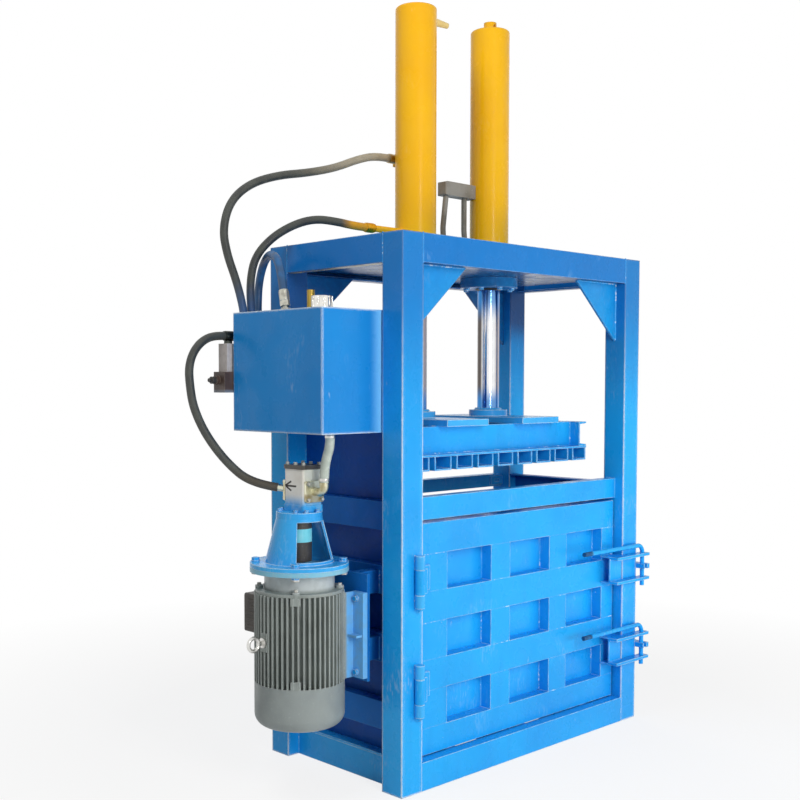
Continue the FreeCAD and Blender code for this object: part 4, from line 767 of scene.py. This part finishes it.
class BALER_OT_sleeves(bpy.types.Operator):
    """Turn the crimped sleeves on the hoses' ends and the clamps of the suction hose"""

    bl_idname = "baler.sleeves"
    bl_label = "Crimped sleeves"

    def execute(self, context):
        sizes = context.scene.baler.hoses
        outer = sizes.sleeve_radius
        groove = outer - 0.9 * MM
        inner = sizes.hose_diameter / 2
        length = sizes.sleeve_length
        ribs = 5
        step = length / ribs
        profile = [(inner, -4 * MM), (groove, -4 * MM)]
        for rib in range(ribs):
            base = rib * step
            profile += [(groove, base), (outer, base + 0.2 * step)]
            profile += [(outer, base + 0.7 * step), (groove, base + 0.9 * step)]
        profile += [(groove, length), (inner, length)]
        sleeve = turned(profile)
        ends = [(points, last) for points in (HOSE_UPPER, HOSE_LOWER, HOSE_RETURN) for last in (False, True)]
        ends.append((HOSE_PRESSURE, False))
        copies = [copy_to(sleeve, *end_of(points, last)) for points, last in ends]
        fit(join(copies, "crimped_sleeves"), "zinc", "frame")

        band_outer = sizes.suction_diameter / 2 + 1.6 * MM
        band_inner = sizes.suction_diameter / 2 - 0.5 * MM
        half = 5 * MM
        rim = band_outer - 0.4 * MM
        section = [(band_inner, -half), (rim, -half), (band_outer, -half * 0.7)]
        section += [(band_outer, half * 0.7), (rim, half), (band_inner, half)]
        band = turned(section)
        bands = []
        for last in (False, True):
            place, direction = end_of(HOSE_SUCTION, last)
            bands.append(copy_to(band, place - direction * 9 * MM, direction))
        fit(join(bands, "suction_clamps"), "steel", "frame")
        for spare in (sleeve, band):
            bpy.data.objects.remove(spare)
        return {"FINISHED"}


# ---- welds


def bead(ripple, start, end, radius, pitch):
    """A weld bead: one ripple after another along a line, sunk to its middle in the corner."""
    start, end = Vector(start), Vector(end)
    run = end - start
    twin = twin_of(ripple)
    select(twin)
    chain = twin.modifiers.new("chain", "ARRAY")
    chain.use_relative_offset = False
    chain.use_constant_offset = True
    chain.constant_offset_displace = (0, 0, pitch / radius)
    chain.count = max(2, int(run.length / pitch) + 1)
    bpy.ops.object.modifier_apply(modifier="chain")
    twin.scale = (radius, radius, radius)
    twin.rotation_mode = "QUATERNION"
    twin.rotation_quaternion = run.to_track_quat("Z", "Y")
    twin.location = start
    return twin


def ring_points(x, y, radius, height, count=24):
    """Points all round a level ring, the first one again at the end."""
    steps = [2 * math.pi * n / count for n in range(count + 1)]
    return [Vector((x + radius * math.cos(a), y + radius * math.sin(a), height)) for a in steps]


def frame_welds():
    """Fillets in the frame's corners, as (start, end) lines, and the dressed butt joints on its faces."""
    fillets = []
    dressed = []
    front, back = posts_low.y, posts_high.y
    rail_bases = (0.004, 0.195, 0.435, 0.675, 0.900)
    gusset_reach = 0.262
    panel_top = 1.5
    stub_bases = (0.445, 0.680)
    stub_height = 0.08
    stub_seams = (-0.744, -0.648)
    stub_webs = (0.052, 0.249)
    hinge_barrels = ((0.7785, 0.048), (0.6465, 0.045), (0.4025, 0.048), (0.2705, 0.045))
    barrel_seam = 8.5 * MM
    catch_middles = (0.309, 0.644)
    catch_half = 10 * MM
    for side in (-1, 1):
        x = side * CHAMBER_HALF
        outer = side * posts_high.x
        rail = side * (CHAMBER_HALF + 48 * MM)
        for face in (front, back):
            dressed.append(((x, face, BEAM_BASE), (x, face, posts_high.z)))
            dressed.append(((x, face, 0.005), (x, face, BEAM_HEIGHT)))
        for y in (-POST_INNER_Y, POST_INNER_Y):
            dressed.append(((outer, y, BEAM_BASE), (outer, y, posts_high.z)))
            for base in rail_bases:
                fillets.append(((rail, y, base), (rail, y, base + BEAM_HEIGHT)))
        for y in (gussets_low.y, gussets_high.y):
            corner = Vector((x, y, BEAM_BASE))
            fillets.append((corner, (x, y, gussets_low.z + 0.006)))
            fillets.append((corner, (x - side * gusset_reach, y, BEAM_BASE)))
        fillets.append(((x, lintel_low.y, lintel_low.z), (x, lintel_low.y, lintel_high.z)))
        fillets.append(((x, lintel_low.y, lintel_high.z), (x, lintel_high.y, lintel_high.z)))
    for y in (plate_low.y, plate_high.y):
        fillets.append(((-CHAMBER_HALF, y, plate_high.z), (CHAMBER_HALF, y, plate_high.z)))
    for y in (tank_low.y, tank_high.y):
        fillets.append(((tank_high.x, y, tank_low.z), (tank_high.x, y, panel_top)))
    fillets.append(((tank_high.x, tank_low.y, tank_low.z), (tank_high.x, tank_high.y, tank_low.z)))
    bracket_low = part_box("motor_bracket")[0]
    for base in stub_bases:
        for web in stub_webs:
            y = bracket_low.y + web
            for x in stub_seams:
                fillets.append(((x, y, base), (x, y, base + stub_height)))
    knuckle_low, knuckle_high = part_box("hinge_knuckles")
    knuckle_x = (knuckle_low.x + knuckle_high.x) / 2
    for base, height in hinge_barrels:
        for side in (-1, 1):
            x = knuckle_x + side * barrel_seam
            fillets.append(((x, front, base + 0.002), (x, front, base + height - 0.002)))
    catch_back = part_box("latch_catches")[1].y
    for middle in catch_middles:
        for side in (-1, 1):
            z = middle + side * catch_half
            fillets.append(((posts_high.x, front + 0.004, z), (posts_high.x, catch_back - 0.004, z)))
    return fillets, dressed


def door_welds():
    """Dressed joints across the door's uprights, and fillets round its hinge leaves and latches."""
    fillets = []
    dressed = []
    face = door_low.y
    back_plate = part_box("door_back_plate")[0].y
    for row in range(POCKET_ROWS):
        base = POCKET_BASE + row * POCKET_PITCH
        for height in (base, base + POCKET_HEIGHT):
            for left, right in UPRIGHTS:
                dressed.append(((left + 0.003, face, height), (right - 0.003, face, height)))
        for left, _ in UPRIGHTS[1:]:
            top = base + POCKET_HEIGHT - 0.004
            fillets.append(((left, back_plate, base + 0.004), (left, back_plate, top)))
    leaf_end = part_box("hinge_leaves")[1].x
    leaf_bases = (0.692, 0.316)
    leaf_height = 0.086
    leaf_seam = 0.05
    for base in leaf_bases:
        fillets.append(((leaf_end, face, base), (leaf_end, face, base + leaf_height)))
        for z in (base, base + leaf_height):
            fillets.append(((leaf_end - leaf_seam, face, z), (leaf_end, face, z)))
    box_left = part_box("latch_boxes")[0].x
    box_face = -0.352
    box_bases = (0.588, 0.253)
    box_height = 0.112
    box_right = box_left + 0.082
    flat_thick = 0.012
    for base in box_bases:
        for z in (base, base + box_height):
            fillets.append(((box_left, face, z), (box_right, face, z)))
        for z in (base + flat_thick, base + box_height - flat_thick):
            fillets.append(((box_left + 0.002, box_face, z), (box_right - 0.002, box_face, z)))
    return fillets, dressed


def platen_welds():
    """Fillets of the platen's channel frame on its plate and of the rod pads on the frame."""
    fillets = []
    frame_low, frame_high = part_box("platen_frame")
    front = -0.170
    back = platen_high.y - 0.001
    foot = frame_low.z + 0.008
    top = frame_high.z
    for side in (-1, 1):
        corner = side * 0.473
        flank = side * 0.4783
        fillets.append(((corner, front, frame_low.z + 0.010), (corner, front, top - 0.010)))
        fillets.append(((flank, platen_low.y, foot), (flank, platen_high.y, foot)))
    fillets.append(((-0.470, front, frame_low.z), (0.470, front, frame_low.z)))
    # Short of the gussets, which this bead passes at the top of the stroke
    fillets.append(((-0.395, back, top), (0.395, back, top)))
    pad_half = 0.115
    for side in (-1, 1):
        for edge in (-pad_half, pad_half):
            x = side * CYLINDER_X + edge
            fillets.append(((x, platen_low.y + 0.05, top), (x, platen_low.y + 0.09, top)))
            fillets.append(((x, platen_high.y - 0.05, top), (x, platen_high.y - 0.004, top)))
    return fillets, []


class BALER_OT_welds(bpy.types.Operator):
    """Run weld beads along the joints of the frame, the door and the platen, and leave some spatter"""

    bl_idname = "baler.welds"
    bl_label = "Weld beads"

    def execute(self, context):
        sizes = context.scene.baler.welds
        deselect()
        bpy.ops.mesh.primitive_uv_sphere_add(segments=6, ring_count=4, radius=1.0)
        ripple = bpy.context.active_object
        groups = {"frame": frame_welds(), "door": door_welds(), "platen": platen_welds()}
        for body, (fillets, dressed) in groups.items():
            runs = [bead(ripple, a, b, sizes.fillet_radius, sizes.ripple_pitch) for a, b in fillets]
            for start, end in dressed:
                sunk = bead(ripple, start, end, sizes.flush_radius, sizes.ripple_pitch)
                inward = Vector((0, 0, 0))
                start = Vector(start)
                if abs(abs(start.x) - posts_high.x) < 1e-4:
                    inward.x = -math.copysign(1, start.x)
                else:
                    inward.y = -math.copysign(1, start.y)
                sunk.location += inward * (sizes.flush_radius * 0.62)
                runs.append(sunk)
            if body == "frame":
                for side in (-1, 1):
                    points = ring_points(side * CYLINDER_X, CYLINDER_Y, BARREL_RADIUS + 1 * MM, plate_high.z)
                    for a, b in zip(points, points[1:]):
                        runs.append(bead(ripple, a, b, sizes.fillet_radius * 1.1, sizes.ripple_pitch))
            fit(join(runs, body + "_weld_beads"), "weld", body, 180)
        bpy.data.objects.remove(ripple)

        chance = random.Random(11)
        deselect()
        bpy.ops.mesh.primitive_ico_sphere_add(subdivisions=1, radius=1.0)
        drop = bpy.context.active_object
        pocket_sides = (UPRIGHTS[0][1], *[left for left, _ in UPRIGHTS[1:]])
        drops = []
        for _ in range(sizes.spatter_count):
            row, column = chance.randrange(POCKET_ROWS), chance.randrange(len(UPRIGHTS))
            twin = twin_of(drop)
            size = chance.uniform(0.8, 2.0) * MM
            twin.scale = (size, size * 0.6, size)
            height = POCKET_BASE + row * POCKET_PITCH + chance.choice((0.0, POCKET_HEIGHT))
            twin.location = (
                pocket_sides[column] - abs(chance.gauss(0, 0.03)) - 0.004,
                door_low.y,
                height + chance.choice((-1, 1)) * (0.006 + abs(chance.gauss(0, 0.02))),
            )
            drops.append(twin)
        fit(join(drops, "door_weld_spatter"), "weld", "door", 180)
        bpy.data.objects.remove(drop)
        return {"FINISHED"}


# ---- small pieces


class BALER_OT_wipers(bpy.types.Operator):
    """Seat a rubber wiper round each rod, under its gland"""

    bl_idname = "baler.wipers"
    bl_label = "Rod wipers"

    def execute(self, context):
        inner = ROD_RADIUS + 0.3 * MM
        lip = [
            (inner + 9 * MM, 0.0),
            (inner + 9 * MM, -3 * MM),
            (inner + 7 * MM, -5 * MM),
            (inner + 3 * MM, -6 * MM),
            (inner, -9 * MM),
            (inner, 0.0),
        ]
        wiper = turned(lip, 48)
        seats = [(side * CYLINDER_X, CYLINDER_Y, glands_low.z) for side in (-1, 1)]
        copies = [copy_to(wiper, seat, (0, 0, 1)) for seat in seats]
        fit(join(copies, "rod_wipers"), "seal", "frame")
        bpy.data.objects.remove(wiper)
        return {"FINISHED"}


class BALER_OT_arrow(bpy.types.Operator):
    """Stencil the arrow that gives the pump's direction of flow"""

    bl_idname = "baler.arrow"
    bl_label = "Pump arrow"

    def execute(self, context):
        height = pump_low.z + 86 * MM
        stroke = 6 * MM
        tip = -26 * MM
        length = 58 * MM
        barb_back = 32 * MM
        barb_rise = 16 * MM
        barb = math.hypot(barb_back, barb_rise)
        tilt = math.degrees(math.atan2(barb_rise, barb_back))
        strokes = [(tip - length / 2, height, length, 0)]
        for way in (-1, 1):
            strokes.append((tip - barb_back / 2, height + way * barb_rise / 2, barb, -way * tilt))
        made = []
        for y, z, size, slope in strokes:
            deselect()
            bpy.ops.mesh.primitive_grid_add(x_subdivisions=12, y_subdivisions=3, size=1.0)
            mark = bpy.context.active_object
            mark.scale = (size, stroke, 1)
            bpy.ops.object.transform_apply(location=False, rotation=False, scale=True)
            mark.rotation_euler = (math.radians(90), 0, math.radians(90))
            bpy.ops.object.transform_apply(location=False, rotation=True, scale=False)
            mark.rotation_euler = (math.radians(slope), 0, 0)
            mark.location = (pump_low.x - 20 * MM, y, z)
            made.append(mark)
        arrow = join(made, "pump_flow_arrow")
        wrap = arrow.modifiers.new("wrap", "SHRINKWRAP")
        wrap.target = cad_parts["pump_body"]
        wrap.wrap_method = "PROJECT"
        wrap.use_project_x = True
        wrap.use_negative_direction = True
        wrap.offset = 0.35 * MM
        select(arrow)
        bpy.ops.object.modifier_apply(modifier="wrap")
        dress(arrow, "stencil")
        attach(arrow, "frame")
        return {"FINISHED"}


# ---- paint


class BALER_OT_paint(bpy.types.Operator):
    """Give every part of the machine its finish"""

    bl_idname = "baler.paint"
    bl_label = "Paint"

    def execute(self, context):
        materials.update(make_materials())
        finish_of = {node: key for key, nodes in FINISH.items() for node in nodes}
        for name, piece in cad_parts.items():
            dress(piece, finish_of.get(name, "blue"))
        return {"FINISHED"}


# ---- stage


def lamp(name, power, size, place, target, mirrored=False):
    """A soft box that points at a place, and that glossy paint shows only if it is mirrored."""
    data = bpy.data.lights.new(name, "AREA")
    data.energy = power
    data.shape = "RECTANGLE"
    data.size, data.size_y = size
    piece = bpy.data.objects.new(name, data)
    bpy.context.collection.objects.link(piece)
    piece.location = place
    piece.rotation_mode = "QUATERNION"
    piece.rotation_quaternion = (Vector(target) - Vector(place)).to_track_quat("-Z", "Y")
    piece.visible_glossy = mirrored


def white_rays(tree):
    """One for the rays that meet the surroundings from the camera or off a mirror or through glass."""
    rays = add(tree, "ShaderNodeLightPath").outputs
    direct = {0: rays["Is Camera Ray"], 1: rays["Is Transmission Ray"]}
    straight = add(tree, "ShaderNodeMath", direct, operation="MAXIMUM").outputs["Value"]
    mirrored = {0: straight, 1: rays["Is Glossy Ray"]}
    return add(tree, "ShaderNodeMath", mirrored, operation="MAXIMUM").outputs["Value"]


class BALER_OT_stage(bpy.types.Operator):
    """Set the floor, the white surroundings, the lights and the camera"""

    bl_idname = "baler.stage"
    bl_label = "Stage"

    def execute(self, context):
        stage = context.scene.baler.stage
        deselect()
        bpy.ops.mesh.primitive_plane_add(size=60, location=(0, 0, -0.0005))
        floor = bpy.context.active_object
        floor.name = "studio_floor"
        paint = bpy.data.materials.new("painted_studio_floor")
        tree = bare_tree(paint)
        matt = add(tree, "ShaderNodeBsdfDiffuse", {"Color": linear("F4F4F4")})
        glow = add(tree, "ShaderNodeEmission", {"Color": linear("FFFFFF"), "Strength": 1.0})
        ground = add(tree, "ShaderNodeTexCoord").outputs["Object"]
        far = add(tree, "ShaderNodeVectorMath", {0: ground}, operation="LENGTH").outputs["Value"]
        # The floor's own white is full from 3.2 m off, past the machine's shadow
        levels = {"Value": far, "From Min": 1.4, "From Max": 3.2, "To Min": stage.floor_glow, "To Max": 1.0}
        glowing = add(tree, "ShaderNodeMapRange", levels).outputs["Result"]
        own = {0: white_rays(tree), 1: glowing}
        share = add(tree, "ShaderNodeMath", own, operation="MULTIPLY").outputs["Value"]
        shaders = {0: share, 1: matt.outputs["BSDF"], 2: glow.outputs["Emission"]}
        mixed = add(tree, "ShaderNodeMixShader", shaders)
        add(tree, "ShaderNodeOutputMaterial", {"Surface": mixed.outputs["Shader"]})
        floor.data.materials.append(paint)

        world = bpy.data.worlds.new("white_surroundings")
        context.scene.world = world
        tree = bare_tree(world)
        levels = {"Value": white_rays(tree), "To Min": stage.sky, "To Max": 1.0}
        strength = add(tree, "ShaderNodeMapRange", levels).outputs["Result"]
        air = add(tree, "ShaderNodeBackground", {"Color": linear("FFFFFF"), "Strength": strength})
        add(tree, "ShaderNodeOutputWorld", {"Surface": air.outputs["Background"]})

        middle = (0, 0, 1.2)
        lamp("key_softbox", stage.key_power, (2.0, 2.2), (-1.7, -4.2, 2.9), middle)
        lamp("low_softbox", stage.low_power, (2.4, 0.8), (1.4, -2.8, 0.6), (0, -0.3, 0.7))
        lamp("overhead_softbox", stage.overhead_power, (1.6, 1.6), (-2.4, 0.0, 4.6), (-0.3, 0, 1.8))
        lamp("rear_softbox", stage.rear_power, (2.2, 2.2), (2.6, 4.2, 2.6), middle)
        lamp("strip_light", stage.strip_power, (0.10, 2.2), (-1.7, -4.3, 1.8), middle, mirrored=True)

        view = bpy.data.cameras.new("photo_camera")
        view.sensor_width = 36.0
        view.lens = stage.focal_length
        view.shift_x, view.shift_y = stage.shift
        camera = bpy.data.objects.new("photo_camera", view)
        context.collection.objects.link(camera)
        camera.location = stage.camera_place
        turn = math.radians(stage.camera_azimuth)
        tilt = math.radians(stage.camera_elevation)
        camera.rotation_euler = (math.pi / 2 - tilt, 0, turn)
        context.scene.camera = camera
        context.scene.view_settings.view_transform = "Standard"
        return {"FINISHED"}


class BALER_PT_panel(bpy.types.Panel):
    bl_label = "Recycling baler"
    bl_idname = "BALER_PT_panel"
    bl_space_type = "VIEW_3D"
    bl_region_type = "UI"
    bl_category = "Baler"

    def draw(self, context):
        for operator in OPERATORS:
            self.layout.operator(operator.bl_idname)


OPERATORS = (
    BALER_OT_paint,
    BALER_OT_hoses,
    BALER_OT_sleeves,
    BALER_OT_welds,
    BALER_OT_wipers,
    BALER_OT_arrow,
    BALER_OT_stage,
)
CLASSES = (BalerHoses, BalerWelds, BalerPaint, BalerStage, BalerSettings, *OPERATORS, BALER_PT_panel)


def register():
    for item in CLASSES:
        bpy.utils.register_class(item)
    bpy.types.Scene.baler = PointerProperty(type=BalerSettings)


def unregister():
    del bpy.types.Scene.baler
    for item in reversed(CLASSES):
        bpy.utils.unregister_class(item)


def main():
    register()
    bpy.ops.baler.paint()
    bpy.ops.baler.hoses()
    bpy.ops.baler.sleeves()
    bpy.ops.baler.welds()
    bpy.ops.baler.wipers()
    bpy.ops.baler.arrow()
    bpy.ops.baler.stage()


if __name__ == "__main__":
    main()
